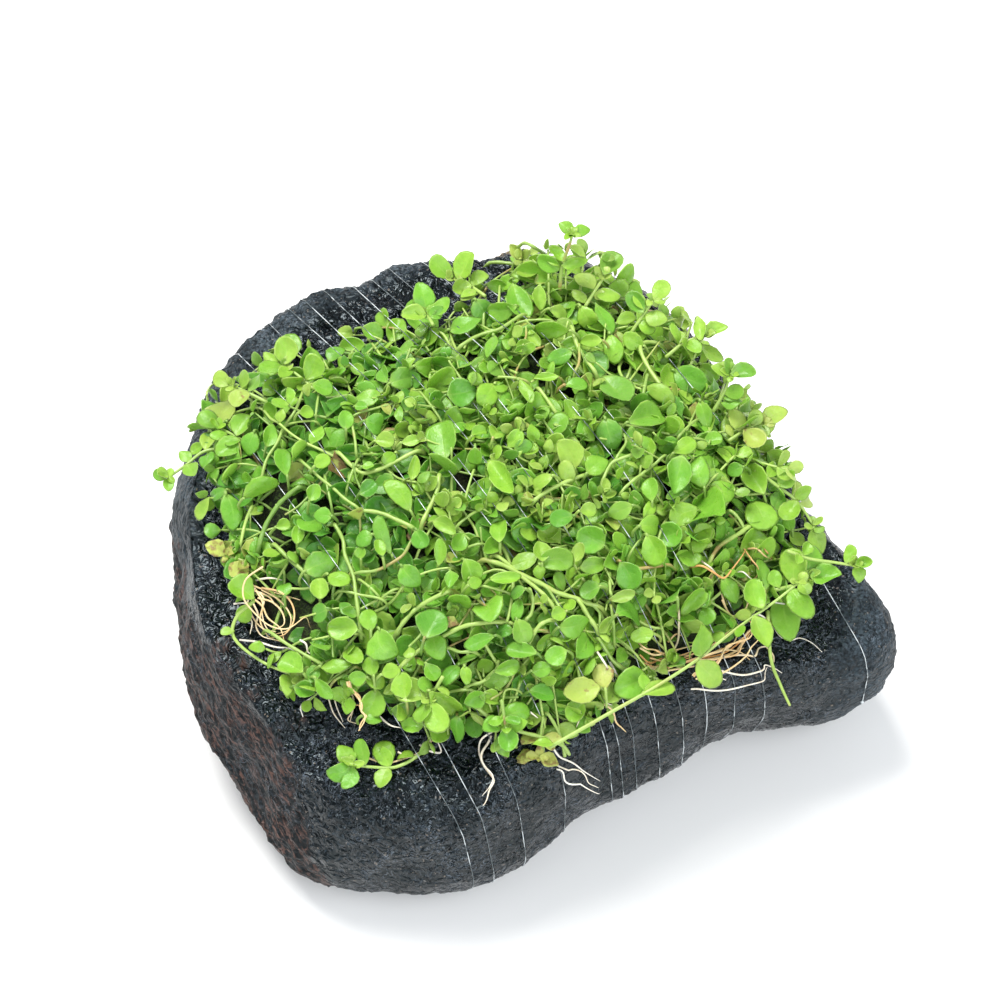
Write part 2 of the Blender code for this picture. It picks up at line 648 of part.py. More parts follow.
def settle(piece, solids, others):
    """Raise a loose piece from below until it lies free on what carries it."""
    piece.data.transform(Matrix.Translation((0, 0, -SETTLE_DEPTH)))
    for _ in range(SETTLE_TRIES):
        if stands_clear(piece, solids, others):
            break
        piece.data.transform(Matrix.Translation((0, 0, SETTLE_STEP)))
    others.append(tree_of(piece.data))


def make_material(name, colour, roughness, opacity):
    """Plain finish of one kind of piece."""
    material = bpy.data.materials.new(name)
    material.use_nodes = True
    shader = material.node_tree.nodes["Principled BSDF"]
    shader.inputs["Base Color"].default_value = (*colour, 1.0)
    shader.inputs["Roughness"].default_value = roughness
    shader.inputs["Metallic"].default_value = 0.0
    shader.inputs["Alpha"].default_value = opacity
    return material


def main():
    for leftover in list(bpy.data.objects):
        bpy.data.objects.remove(leftover)
    parts = bpy.data.collections.new("pearl_grass_on_lava_rock")
    bpy.context.scene.collection.children.link(parts)
    rock = make_rock(parts)
    rock_tree = tree_of(rock.data)
    mat = make_mat(parts, rock_tree)
    line = make_line(parts, [rock.data, mat.data])
    solids = [rock_tree, tree_of(mat.data)]
    others = [tree_of(line.data)]
    for name, (route, leaves) in SHOOTS.items():
        settle(make_shoot(name, route, leaves, parts), solids, others)
    for name, route in ROOTS.items():
        points = [Vector(point) for point in route]
        settle(tube(name, points, [ROOT_RADIUS] * len(points), 0, parts), solids, others)
    finish_of = {"lava_rock": "wet_lava_rock", "pearl_grass_mat": "pearl_grass_leaf", "nylon_line": "clear_nylon"}
    finish_of.update({name: "young_pearl_grass_leaf" for name in SHOOTS})
    finish_of.update({name: "pale_root" for name in ROOTS})
    materials = {name: make_material(name, *values) for name, values in FINISHES.items()}
    for piece in parts.objects:
        piece.data.transform(Matrix.Scale(MM, 4) @ Matrix.Translation(FRAME_SHIFT))
        piece.data.shade_smooth()
        piece.data.set_sharp_from_angle(angle=SHARP_ANGLE)
        piece.data.materials.clear()
        piece.data.materials.append(materials[finish_of[piece.name]])


main()
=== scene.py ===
"""Looks of pearl grass tied to a loose piece of lava rock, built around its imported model.

Lengths are in millimetres from the rock's middle until a mesh is made, which moves them to the frame.
"""

import math

import bpy
import numpy as np
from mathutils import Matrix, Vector, geometry, noise
from mathutils.bvhtree import BVHTree


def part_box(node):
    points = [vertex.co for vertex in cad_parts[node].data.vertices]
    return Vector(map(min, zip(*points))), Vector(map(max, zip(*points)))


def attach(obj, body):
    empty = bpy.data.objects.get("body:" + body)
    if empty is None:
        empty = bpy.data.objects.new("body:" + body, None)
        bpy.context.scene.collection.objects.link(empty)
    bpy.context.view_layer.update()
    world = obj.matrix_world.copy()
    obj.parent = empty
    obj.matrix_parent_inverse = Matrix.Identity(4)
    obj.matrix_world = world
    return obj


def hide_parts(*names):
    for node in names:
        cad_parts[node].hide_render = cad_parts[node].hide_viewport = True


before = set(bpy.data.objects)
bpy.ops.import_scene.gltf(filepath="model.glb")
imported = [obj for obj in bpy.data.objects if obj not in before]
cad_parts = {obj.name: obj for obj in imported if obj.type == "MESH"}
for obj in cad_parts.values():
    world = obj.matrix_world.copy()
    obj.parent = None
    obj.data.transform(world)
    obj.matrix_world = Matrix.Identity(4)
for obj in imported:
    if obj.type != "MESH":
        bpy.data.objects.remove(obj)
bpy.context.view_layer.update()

MM = 0.001
FRAME_SHIFT = np.array((1.0, -1.6, 0.0))
SEED = 11
BODY = "root"

# Camera: where it stands and what it looks at, in metres
CAMERA_PLACE = (-0.0039, -0.2915, 0.5455)
CAMERA_AIM = (-0.0039, 0.0085, 0.0259)
CAMERA_LENS = 120.0
SENSOR = 36.0
# Pixels across the picture, its middle, and pixels for each part of the distance
PICTURE = 1000.0
PICTURE_MIDDLE = PICTURE / 2
PIXELS = PICTURE * CAMERA_LENS / SENSOR
# Height at which a sprig ends that is seen past the rock's outline
EDGE_HEIGHT = 45.0

# Stage: half the floor's side in metres, the light all round, and each lamp's place, size, power and colour
FLOOR_HALF = 1.6
STUDIO_COLOUR = (0.93, 0.96, 1.0, 1.0)
STUDIO_STRENGTH = 0.47
LAMP_AIM = (0.0, 0.0, 0.03)
LAMPS = {
    "key": ((-0.28, 0.42, 0.85), 0.5, 14.0, (1.0, 0.985, 0.96)),
    "fill": ((0.5, -0.45, 0.7), 0.8, 7.0, (0.94, 0.97, 1.0)),
    "side": ((-0.7, -0.2, 0.5), 0.6, 1.0, (0.97, 0.98, 1.0)),
    "front": ((-0.2, -0.85, 0.42), 0.2, 2.1, (0.93, 0.96, 1.0)),
}

# Rock: one row for each station round its middle, in degrees and millimetres. A row is the angle, the
# widest radius and its height, the rim's radius and height, the foot's radius, and how square the shoulder
# and the underside are.
ROCK_STATIONS = (
    (0, 55.5, 20, 50, 33.5, 46, 2.4, 2.0),
    (14, 48.5, 22, 44, 34.5, 40, 2.6, 2.0),
    (32, 47.5, 22, 43, 35, 39, 2.6, 2.0),
    (50, 51, 23, 46, 35.5, 42, 2.6, 2.0),
    (70, 57, 23, 51, 35.5, 47, 2.4, 2.0),
    (90, 62, 24, 56, 35, 50, 2.4, 2.0),
    (103, 61, 24, 56, 35, 50, 2.4, 2.0),
    (118, 62.5, 24, 57, 35, 51, 2.4, 2.0),
    (133, 64.5, 24, 60, 35, 53, 2.4, 2.0),
    (148, 66.5, 23, 62, 35, 55, 2.2, 2.0),
    (162, 65, 22, 61, 35, 54, 1.8, 1.8),
    (176, 64, 20, 59.5, 35, 53, 1.3, 1.8),
    (190, 64, 18, 59.5, 34.5, 52, 1.2, 1.8),
    (204, 64.5, 16, 59, 34, 52, 1.1, 1.8),
    (217, 65, 13, 58, 33.5, 51, 1.1, 1.8),
    (228, 66.5, 10, 59, 30, 52, 1.2, 1.8),
    (238, 67, 8, 53, 31, 53, 2.0, 1.8),
    (250, 62.5, 8, 47, 32, 50, 2.3, 1.8),
    (262, 57.5, 9, 44, 32.5, 46, 2.4, 1.8),
    (275, 49, 10, 38, 33, 40, 2.5, 1.8),
    (290, 44.5, 11, 36, 33.5, 36, 2.6, 1.8),
    (306, 43.5, 12, 37, 34, 35, 2.8, 1.6),
    (320, 47.5, 14, 42, 33.5, 38, 2.8, 1.6),
    (332, 58, 14, 51, 32, 46, 2.6, 1.6),
    (341, 67, 14, 58, 31, 51, 2.4, 1.8),
    (350, 64, 17, 57, 32, 51, 2.4, 2.0),
)
ROCK_TOP = 37.0
ROCK_FLOOR = 1.2
# How far the fine relief may dip below the floor of the rock
FLOOR_DIP = 0.4
# Points round the rock and from the top's middle to the base's
ROCK_COLUMNS = 660
TOP_PARTS = np.concatenate([np.linspace(0.12, 0.6, 5), np.linspace(0.63, 0.99, 33)])
SHOULDER_STEPS = 50
UNDER_STEPS = 32
BASE_PARTS = np.concatenate([np.linspace(0.98, 0.64, 16), np.linspace(0.55, 0.15, 4)])
ROCK_LUMPS = ((21.0, 1.3), (8.0, 0.7))
# Ledges, pits and knobs: place, reach and depth, where a negative depth stands proud
ROCK_DENTS = (
    ((14, -36, 20), 6.5, 2.2),
    ((46, -22, 30), 6.0, 2.4),
    ((55, -22, 22), 5.0, 1.6),
    ((-52, -42, 20), 6.0, 1.8),
    ((-46, -52, 12), 5.0, -1.5),
    ((-9, 61, 34), 4.5, 2.4),
    ((-22, 56, 35), 5.0, -1.2),
    ((-33, 55, 33), 4.0, 1.8),
    ((62, -20, 24), 7.0, -1.2),
    ((-62, -4, 26), 6.0, 1.4),
)
# Finer unevenness: size and height of each layer, first soft, then humps between creases
ROCK_GRAIN = ((5.2, 0.38), (2.4, 0.16))
ROCK_HUMPS = ((2.6, 0.16), (1.1, 0.2))
HUMP_FLOOR = 0.4
# Pits: size of the cells they lie in, depth and its least part, how rare they are, and their radius as a
# part of the cell, at least and more by chance
PIT_SIZE = 3.3
PIT_DEPTH = 0.8
PIT_SHALLOW = 0.6
PIT_CHANCE = 0.35
PIT_RADIUS = (0.14, 0.2)
# Feet: across and along the winding, with half length and half width
ROCK_FEET = (
    ((-31.0, -40.0), 8.0, 2.6),
    ((22.0, -39.0), 8.5, 2.6),
    ((-24.0, 27.0), 8.0, 2.2),
    ((25.5, 30.0), 8.0, 3.0),
)
FOOT_SPREAD = 1.7
FOOT_PULL = (4.0, 10.0)
WINDING_HEADING = math.radians(-57.5)
# Ridge that bounds the broken brown face on the left from above: degrees round the rock and height
BROWN_RIDGE = (
    (169, 10), (174, 22), (189, 26), (202, 33), (210, 34), (218, 32.5), (224, 31), (231, 24), (237, 15),
    (241, 0),
)
BROWN_SOFT = 1.5
# Size and height of the ragged steps in that ridge
BROWN_RAGGED = (3.2, 3.0)
# Layers of the broken face: the way they run, that way as a turn in radians, how far they are drawn out
# along it, their thickness, and the height of the coarse ones and of the finer ones between
LAYER_RUN = Vector((0.375, -0.912, -0.165))
LAYER_TURN = (0.0, 0.165, -1.18)
LAYER_STRETCH = 0.78
LAYER_THICKNESS = 1.3
LAYER_HEIGHTS = (0.7, 0.5)
LAYER_FINENESS = 2.1
# How far the fibres in its colour are drawn out
FIBRE_STRETCH = 3.6
# Dull broken skin on the left: degrees and half width, and how far out it starts
DULL_SIDES = ((140, 62), (352, 24))
DULL_REACH = (55.0, 60.0)
# Tan patch at the back of the top: place and reach
TAN_PATCH = ((-3.0, 59.5, 34.5), 4.4)
# Rough grainy rim at the back left: degrees and half width, the heights between which it starts, and how
# much rougher it is
GRAINY_RIM = (128.0, 46.0)
GRAINY_HEIGHTS = (18.0, 30.0)
GRAINY_GAIN = 0.6
# Part of a band's half width over which it counts in full
BAND_CORE = 0.55

# Cushion of plants: outline round the rock's middle, in degrees and millimetres
MAT_OUTLINE = (
    (0, 46), (20, 43.5), (35, 42), (50, 44), (65, 46), (80, 49), (91, 49), (102, 45), (122, 41),
    (137, 46), (150, 53), (168, 56), (185, 53), (200, 50.5), (215, 50.5), (230, 45), (248, 43),
    (265, 40.5), (278, 40.5), (292, 37.5), (310, 37), (325, 39.5), (342, 44.5),
)
MAT_HEIGHT = 13.5
MAT_EDGE = 2.4
MAT_LUMPS = ((17.0, 1.6), (7.0, 0.9))
MAT_BED = 0.4
# How square the cushion's top is towards its edge, and how much flatter its lumps are there
MAT_SQUARE = 3.2
MAT_LUMP_FADE = 0.6
# Past its edge, as a part of the outline: where its surface ends, where its flank meets the rock, and how
# far over the rock it does
MAT_SURFACE_END = 1.08
MAT_FLANK_END = 1.13
MAT_FOOT = 0.8
# Grid of heights: step, steps to each side, and reach of the bed that evens out the rock. A ray that finds
# the rock's height starts at the first of two heights, and the second stands for no rock.
GRID_STEP = 1.5
GRID_HALF = 48
BED_CELLS = 3
RAY_HEIGHTS = (90.0, -6.0)

# Sprigs of the cushion: how many, the pieces they are dealt out to, how far out they are sown, the scatter
# of their places, the part of the outline from which they head outwards, and their lengths and sizes
SPRIGS = 270
SPRIG_PARTS = 5
SPRIG_FAR = 0.96
SPRIG_SCATTER = 1.2
SPRIG_OUTER_PART = 0.72
SPRIG_LENGTHS = (9.0, 22.0)
SPRIG_SIZES = (0.66, 1.08)
# Scatter of the headings outwards, and by what part the sprigs are shorter towards the edge, from which
# part of the outline on, and how far that takes to grow
SPRIG_FAN = 0.9
SPRIG_SHORTER = (0.35, 0.6, 0.4)
# Heights of a sprig's foot and tip over the cushion's top, the power by which it climbs between them, how
# much its last part rises besides, and how much a leggy sprig is raised at foot and tip and thickened
SPRIG_DEPTHS = (-3.4, -1.6)
SPRIG_TOPS = (-0.6, 1.0)
SPRIG_CLIMB = 0.7
SPRIG_RISE = 1.6
SPRIG_RISE_PART = 0.22
SPRIG_RISE_RANGE = (0.7, 1.1)
LEGGY_SHARE = 0.24
LEGGY_RISE = (1.6, 0.9)
LEGGY_THICKNESS = 1.15
# Way of a sprig: its step, how it curls and wanders in radians a step, the part of the outline that it
# stays in, how high and how wide that waves, how near to it the sprig turns back, by how much a step, over
# which part of the outline that grows, how far it grows, and for which headings
SPRIG_STEP = 0.75
SPRIG_CURL = 0.035
SPRIG_WANDER = 0.05
SPRIG_LIMIT = 0.96
SPRIG_LIMIT_WAVE = 0.07
SPRIG_WAVE_SIZE = 9.0
SPRIG_NEAR = 0.05
SPRIG_TURN = 0.16
SPRIG_TURN_PART = 0.08
SPRIG_TURN_MOST = 1.5
SPRIG_OUTWARD = 1.5
# Sprigs that reach out over the edge: height of their ends over the ground, length, depth of their feet,
# scatter of their headings, how far their middles arch over the cushion, their sizes, and how much yellower
# they are
EDGE_LIFT = (0.8, 2.0)
EDGE_LENGTHS = (8.0, 14.0)
EDGE_DEPTH = 2.5
EDGE_FAN = 0.5
EDGE_ARCH = (0.8, 1.0)
EDGE_SIZES = (0.72, 1.0)
EDGE_TONE = 0.1
# Leaves between the sprigs: how many, how far out and how deep, how much deeper green, the share and the
# ages of old ones, how steeply they rise, the scatter of the way they face, and their sizes. They and the
# sprigs are sown at the golden angle.
FILL_LEAVES = 850
FILL_FAR = 0.98
FILL_DEPTHS = (0.6, 3.2)
FILL_SHADE = 0.22
FILL_OLD_SHARE = 0.05
FILL_OLD_AGES = (0.3, 0.8)
FILL_RISE = (-0.1, 0.6)
FILL_SCATTER = 0.35
FILL_SIZES = (0.7, 1.1)
SOWING_ANGLE = math.pi * (3.0 - math.sqrt(5.0))
LEAF_LENGTH = 5.7
STEM_RADIUS = 0.34
STALK_RADIUS = 0.26
# Part of its thickness that a stem loses to its tip, how much paler than its leaves it is, how much more so
# at its tip, and its age as a part of theirs
STEM_TAPER = 0.4
STEM_PALER = (0.05, 0.45)
STEM_TIP_PALER = 0.15
STEM_AGE = 0.6
# Space between pairs of leaves, on close sprigs, on leggy ones and at the edge, how far from the foot the
# first pair is, and the least space before the last pair and between any two
CLOSE_GAPS = (2.6, 4.4)
LEGGY_GAPS = (4.2, 7.0)
EDGE_GAPS = (2.6, 4.6)
FIRST_PAIR = (1.0, 3.5)
LAST_GAP = 0.6
LEAST_GAP = 0.5
# Part of a sprig where its tip starts. From there its leaves stand closer, smaller and more upright.
TIP_START = 0.72
TIP_GAP = 1.0
TIP_SHRINK = 0.42
# Angle of a leaf to its stem in degrees, how much of it is lost at the tip, and its scatter
LEAF_ANGLE = (76.0, 24.0, 17.0)
# Part of a quarter turn from one pair to the next, what the tip adds to it, and its scatter
PAIR_TURN = (0.35, 0.65, 0.4)
# How far a leaf may point down, and the part that is left of it past that. How much leaves rise, with its
# scatter, and how they face: upwards, along the stem, more so at the tip, and its scatter.
LEAF_DOWN = -0.2
LEAF_DOWN_LEFT = 0.3
LEAF_RISE = (0.24, 0.26)
LEAF_FACING = (0.75, 0.2, 0.5, 0.36)
LEAF_SIZES = (0.78, 1.16)
# How much yellower the leaves are at the tip, and the scatter of their tone
TIP_TONE = 0.3
LEAF_TONE_SCATTER = 0.1
# Shares of leaves that are missing, that are wilting on a fresh sprig, and of sprigs that are old, the age
# up to which a sprig is fresh, and the ages of the others
MISSING_SHARE = 0.08
WILTING_SHARE = 0.03
OLD_SHARE = 0.04
FRESH_AGE = 0.2
WILTING_AGES = (0.2, 0.5)
OLD_AGES = (0.2, 0.6)
# Tone of the cushion's leaves at the front left, how much yellower they are at the right and at the back
# and between which places that grows, and the height and size of patches
REGION_TONE = 0.28
REGION_RIGHT = 0.24
REGION_RIGHT_SPAN = (-45.0, 20.0)
REGION_BACK = 0.12
REGION_BACK_SPAN = (0.0, 40.0)
REGION_PATCHES = 0.4
REGION_PATCH_SIZE = 9.0
# Old stems under the leaves: rings, points round each, depth below the cushion's top, also at its middle,
# how far out, size and height of each layer of their grain, how little they lie over the rock, and how far
# their rim and underside lie in it
THATCH_RINGS = 46
THATCH_SIDES = 150
THATCH_DEPTH = 3.3
THATCH_MIDDLE_DEPTH = 3.0
THATCH_FAR = 0.97
THATCH_GRAIN = ((2.2, 0.9), (0.9, 0.5))
THATCH_OVER_ROCK = 0.05
THATCH_IN_ROCK = 0.6

# Form of a leaf. Ends of even draws: width as a part of its length, fullness towards the foot, height of
# its waves, and how pointed it is. Middle and scatter of the others: cup, fold along the rib, bend, twist,
# and sideways sway.
LEAF_WIDTH = (0.6, 0.86)
LEAF_FULLNESS = (-0.4, 0.26)
LEAF_WAVE = (0.0, 0.11)
LEAF_POINT = (-0.1, 0.55)
LEAF_CUP = (0.1, 0.24)
LEAF_FOLD = (0.16, 0.26)
LEAF_BEND = (0.3, 0.45)
LEAF_TWIST = (0.0, 0.3)
LEAF_SWAY = (0.0, 0.26)

# Round blade that a leaf is shaped from: its rings, points round its rim, and half its thickness. Its two
# sides share the rim.
BLADE_RINGS = (0.32, 0.62, 0.86)
BLADE_SIDES = 14
BLADE_THICKNESS = 0.07

# Shoots and runners that stand clear of the cushion. The route of each stem is in millimetres from the
# rock's middle. Each leaf is the part of the stem where it grows, its turn from the stem's heading and its
# rise in degrees, and its length.
SHOOTS = {
    "shoot_far_left": (
        ((-52.5, 11.8, 43), (-56.9, 11.4, 43), (-60.0, 9.0, 42.5), (-63.2, 6.6, 42)),
        (
            (0.3, 70, 30, 4.6), (0.35, -100, 5, 4.8), (0.7, 85, 20, 4.2), (1.0, 60, 15, 3.0),
            (1.0, -60, -10, 3.2),
        ),
    ),
    "shoot_torn_left": (
        ((-44.5, -13.6, 42), (-48.1, -11.6, 42), (-52.0, -9.8, 41.5)),
        ((0.5, 60, 20, 5.0), (0.55, -75, 10, 4.6), (1.0, 0, 12, 4.6)),
    ),
    "runner_left_loop": (
        (
            (-47.0, -19.6, 43), (-50.0, -22.0, 41.5), (-50.4, -25.0, 39.5), (-45.6, -29.2, 39),
            (-39, -32.6, 39.5),
        ),
        ((0.0, -60, 30, 5.6), (0.9, -60, 15, 4.6), (1.0, 60, 10, 4.6), (1.0, -10, 12, 5.0)),
    ),
    "runner_front_left": (
        (
            (-16.4, -41.3, 41), (-18.7, -44.2, 39.5), (-22.6, -46.2, 38.8), (-26.5, -46.2, 38.8),
            (-29.9, -45.9, 39),
        ),
        (
            (0.62, 75, 5, 4.6), (0.6, -70, 20, 5.4), (0.86, -70, 20, 5.0), (1.0, -50, 20, 4.6),
            (1.0, 35, 12, 5.2), (1.0, 75, -8, 4.6),
        ),
    ),
    "shoot_front_pale": (
        ((-14.5, -35.5, 45), (-16.8, -38.2, 42)),
        ((1.0, -65, 5, 6.2), (1.0, 60, 2, 6.4), (0.95, 10, -12, 5.0)),
    ),
    "shoot_front_yellow": (
        ((2.7, -39.9, 43), (2.0, -43.0, 40.5), (1.7, -45.4, 39)),
        ((1.0, -80, -5, 4.4), (1.0, 75, 5, 4.0), (0.5, 80, 25, 4.4)),
    ),
    "shoot_front_small": (
        ((-4.6, -38.8, 43), (-4.0, -42.4, 40)),
        ((1.0, 0, -15, 4.6), (0.9, 80, 15, 4.2), (0.9, -85, 15, 4.0)),
    ),
    "runner_front_right": (
        (
            (3.5, -45.6, 39.5), (12.9, -40.4, 41), (20.7, -36.0, 42), (28.1, -31.0, 42.5),
            (34.6, -25.6, 43),
            (41.8, -20.2, 43.5), (46.2, -16.6, 44),
        ),
        (
            (0.56, -80, -20, 6.6), (0.58, 60, 50, 6.4), (0.34, -10, 10, 6.2), (0.02, 150, 20, 4.2),
            (0.8, -95, -5, 6.0), (0.85, 70, 25, 5.6),
        ),
    ),
    "shoot_right_low": (
        ((42.5, -16.5, 47), (46.0, -15.2, 46.5), (48.6, -13.6, 46)),
        ((0.4, -80, 0, 7.0), (0.5, 70, 25, 6.4), (1.0, -35, 8, 5.6), (1.0, 45, 20, 6.0)),
    ),
    "stem_right_bare": (
        ((41.4, -18.2, 42.5), (41.8, -26.0, 40), (43.3, -30.6, 39), (44.9, -34.2, 38)),
        (),
    ),
    "shoot_right_thin": (
        ((44.6, -10.6, 48), (48.6, -11.6, 47), (52.6, -11.7, 46), (56.4, -11.8, 45)),
        ((0.86, 70, 20, 3.8), (1.0, 15, 12, 3.4), (1.0, -70, -15, 3.2)),
    ),
    "shoot_right_edge": (
        ((39.5, 4.6, 52), (43.6, 1.6, 51), (46.8, -0.4, 49.5), (49.6, -4.0, 47.5)),
        ((0.35, 75, 35, 4.4), (0.6, 60, 25, 3.6), (0.65, -75, 10, 4.6), (1.0, -20, -20, 5.2)),
    ),
    "shoot_right_upper": (
        ((35.0, 10.0, 52.5), (38.6, 12.6, 52.5), (41.0, 14.0, 52)),
        ((0.4, 80, 30, 5.4), (0.45, -80, 10, 5.2), (1.0, 0, 10, 5.6)),
    ),
    "shoot_right_three_leaf": (
        ((32.4, 15.4, 52), (34.2, 17.4, 55), (35.2, 19.4, 57.5)),
        ((1.0, 100, 25, 3.8), (1.0, -70, 10, 5.2), (0.97, 20, 45, 3.6), (0.3, -60, 20, 4.4)),
    ),
    "shoot_back_right_yellow": (
        ((24.6, 28.4, 51), (28.0, 30.6, 52.5), (31.4, 31.6, 53)),
        ((0.45, 80, 30, 4.4), (0.5, -75, 15, 4.6), (1.0, 0, 15, 4.8)),
    ),
    "shoot_back_right_upright": (
        ((18.4, 33.0, 51), (20.6, 35.6, 53), (22.4, 37.6, 54.5)),
        ((0.6, 80, 20, 4.8), (0.6, -70, 15, 4.6), (1.0, 0, 30, 4.6)),
    ),
    "shoot_back_broad": (
        ((10.4, 38.6, 52), (12.4, 42.0, 52.5), (13.8, 44.8, 52)),
        ((0.5, 75, 15, 5.2), (0.5, -80, 20, 5.4), (1.0, 0, 12, 5.4)),
    ),
    "shoot_back_tall": (
        ((5.8, 41.5, 51), (6.2, 43.9, 55), (7.4, 45.8, 58.5), (8.0, 47.4, 60)),
        (
            (0.35, 75, 10, 5.4), (0.4, -85, 20, 5.2), (1.0, 70, 10, 3.2), (1.0, -50, -5, 3.6),
            (1.0, 170, 30, 3.0),
        ),
    ),
    "shoot_back_long": (
        ((5.0, 44.6, 50), (1.4, 48.0, 49.5), (-0.8, 50.6, 49)),
        ((0.5, 70, 25, 4.4), (0.5, -80, 10, 4.6), (1.0, 0, 15, 3.6)),
    ),
    "shoot_back_middle": (
        ((-7.6, 41.0, 46), (-10.4, 44.6, 44), (-13.4, 46.4, 43.5)),
        ((0.5, -80, 10, 4.6), (0.9, -95, 30, 6.0), (1.0, -10, 25, 5.6), (0.55, 80, 15, 4.4)),
    ),
    "shoot_back_single": (
        ((-16.8, 33.4, 48), (-18.0, 36.8, 46.5)),
        ((1.0, -5, 20, 6.0), (0.9, 80, 15, 5.0), (0.9, -80, 15, 5.0)),
    ),
    "shoot_back_left_clump": (
        ((-37.6, 21.6, 49), (-40.6, 24.6, 49), (-43.0, 27.0, 48.5)),
        (
            (0.35, 75, 30, 5.2), (0.35, -70, 30, 5.6), (1.0, 70, 20, 5.4), (1.0, -40, 22, 5.8),
            (1.0, 15, 10, 5.0),
        ),
    ),
    "shoot_left_upper": (
        ((-46.0, 18.6, 47), (-49.6, 21.0, 46.5), (-52.4, 23.0, 45.5)),
        ((0.45, 75, 15, 4.6), (0.5, -80, 15, 4.2), (1.0, 0, 10, 4.2)),
    ),
    "shoot_left_middle": (
        ((-47.6, 9.6, 47), (-51.6, 13.0, 46), (-54.6, 15.4, 45)),
        ((0.4, 75, 10, 5.4), (0.5, -75, 15, 5.2), (1.0, 0, 5, 5.0)),
    ),
}
# Small leaves that each shoot has besides, at its tip and along it: how many, and their lengths
TIP_LEAVES = 4
TIP_LEAF_LENGTHS = (1.6, 2.6)
SIDE_LEAVES = 2
SIDE_LEAF_LENGTHS = (2.6, 4.0)
# Tone of a shoot's leaves as a part of the shoot's, with its scatter and that of their age
SHOOT_DEPTH = 0.85
SHOOT_TONE_SCATTER = 0.1
SHOOT_AGE_SCATTER = 0.06
# Shoots: thickness of the stem and its age as parts of the usual, scatter of the way the leaves face, and
# ends of even draws for their size, bend and width
SHOOT_THICKNESS = 1.05
SHOOT_STEM_AGE = 0.5
SHOOT_SCATTER = 0.3
SHOOT_SIZES = (0.92, 1.02)
SHOOT_BEND = (-0.1, 0.6)
SHOOT_WIDTH = (0.62, 0.84)
# Colour of each shoot, from deep green 0 to yellow-green 1, and its age, from fresh 0 to dry 1
SHOOT_TONES = {
    "shoot_far_left": (0.55, 0.1), "shoot_torn_left": (0.7, 0.5), "runner_left_loop": (0.8, 0.05),
    "runner_front_left": (0.65, 0.0), "shoot_front_pale": (0.72, 0.08), "shoot_front_yellow": (0.9, 0.45),
    "shoot_front_small": (0.45, 0.0), "runner_front_right": (0.75, 0.05), "shoot_right_low": (0.7, 0.0),
    "stem_right_bare": (0.95, 0.1), "shoot_right_thin": (0.75, 0.1), "shoot_right_edge": (0.7, 0.05),
    "shoot_right_upper": (0.75, 0.3), "shoot_right_three_leaf": (0.6, 0.0),
    "shoot_back_right_yellow": (0.85, 0.1), "shoot_back_right_upright": (0.7, 0.0),
    "shoot_back_broad": (0.85, 0.0), "shoot_back_tall": (0.65, 0.0),
    "shoot_back_long": (0.7, 0.25), "shoot_back_middle": (0.85, 0.1), "shoot_back_single": (0.65, 0.0),
    "shoot_back_left_clump": (0.78, 0.0), "shoot_left_upper": (0.6, 0.2), "shoot_left_middle": (0.5, 0.1),
}

# Roots that hang out of the cushion: route in millimetres, number of strands, scatter, and tone from white
# to orange
ROOTS = {
    "roots_left_loop": (
        (
            (-45.4, -16.8, 43), (-48.0, -18.6, 42), (-48.4, -22.0, 40), (-45.2, -25.4, 39.4),
            (-41.2, -26.6, 39.4), (-38.2, -24.8, 40),
        ),
        1, 0.2, 0.6,
    ),
    "roots_right_upper": (
        ((28.6, -32.2, 42), (34.0, -28.6, 41.5), (38.6, -24.9, 42), (40.4, -21.6, 43)),
        3, 1.2, 0.6,
    ),
    "roots_right_lower": (
        ((27.8, -33.0, 41), (32.2, -32.6, 40), (36.6, -32.2, 39.5), (40.0, -30.6, 39.5), (41.2, -28.2, 40)),
        1, 0.2, 0.1,
    ),
    "root_front_white": (
        ((-6.4, -41.2, 41), (-8.0, -44.4, 39), (-6.2, -48.0, 38.4), (-6.6, -50.6, 38), (-7.9, -52.4, 37)),
        1, 0.0, 0.05,
    ),
    "root_front_right": (
        ((4.8, -46.8, 39.5), (7.0, -48.2, 38.5), (9.4, -48.9, 38), (11.8, -50.2, 37.4)),
        2, 0.5, 0.1,
    ),
    "root_front_orange": (
        ((-30.6, -34.0, 41.5), (-28.6, -37.0, 40), (-27.6, -39.4, 39.4), (-28.4, -42.0, 39)),
        2, 0.5, 0.6,
    ),
}
# Radius of a root, its range, the part of it lost to the end, and the scatter of the tone
ROOT_RADIUS = 0.19
ROOT_SIZES = (0.75, 1.15)
ROOT_TAPER = 0.75
ROOT_TONE_SCATTER = 0.08
# Turns of the waves along a strand, in radians, for each direction, their height and what a bundle's
# scatter adds to it, their height upwards, the part of the scatter that is upwards, and its part at the ends
ROOT_WAVES = (15.0, 12.0, 18.0)
ROOT_WAVE_HEIGHT = 0.2
ROOT_WAVE_SCATTER = 0.25
ROOT_WAVE_UP = 0.12
ROOT_SCATTER_UP = 0.3
ROOT_SCATTER_ENDS = 0.3
# Foot of a root that hangs over the cushion by more than this: its part of the way out, and its depth
ROOT_HANGS = 1.0
ROOT_FOOT_PART = 0.97
ROOT_FOOT_DEPTH = 1.5
# How high a root that the photograph shows lies, how high it lies over leaves, and the part of the cushion
# where leaves could hide it
ROOT_LIFT = (0.3, 1.0)
ROOT_LIFT_OVER_LEAVES = (3.0, 3.9)
ROOT_BED_END = 0.93
CAD_STEM_RADIUS = 0.5
CAD_ROOT_RADIUS = 0.28

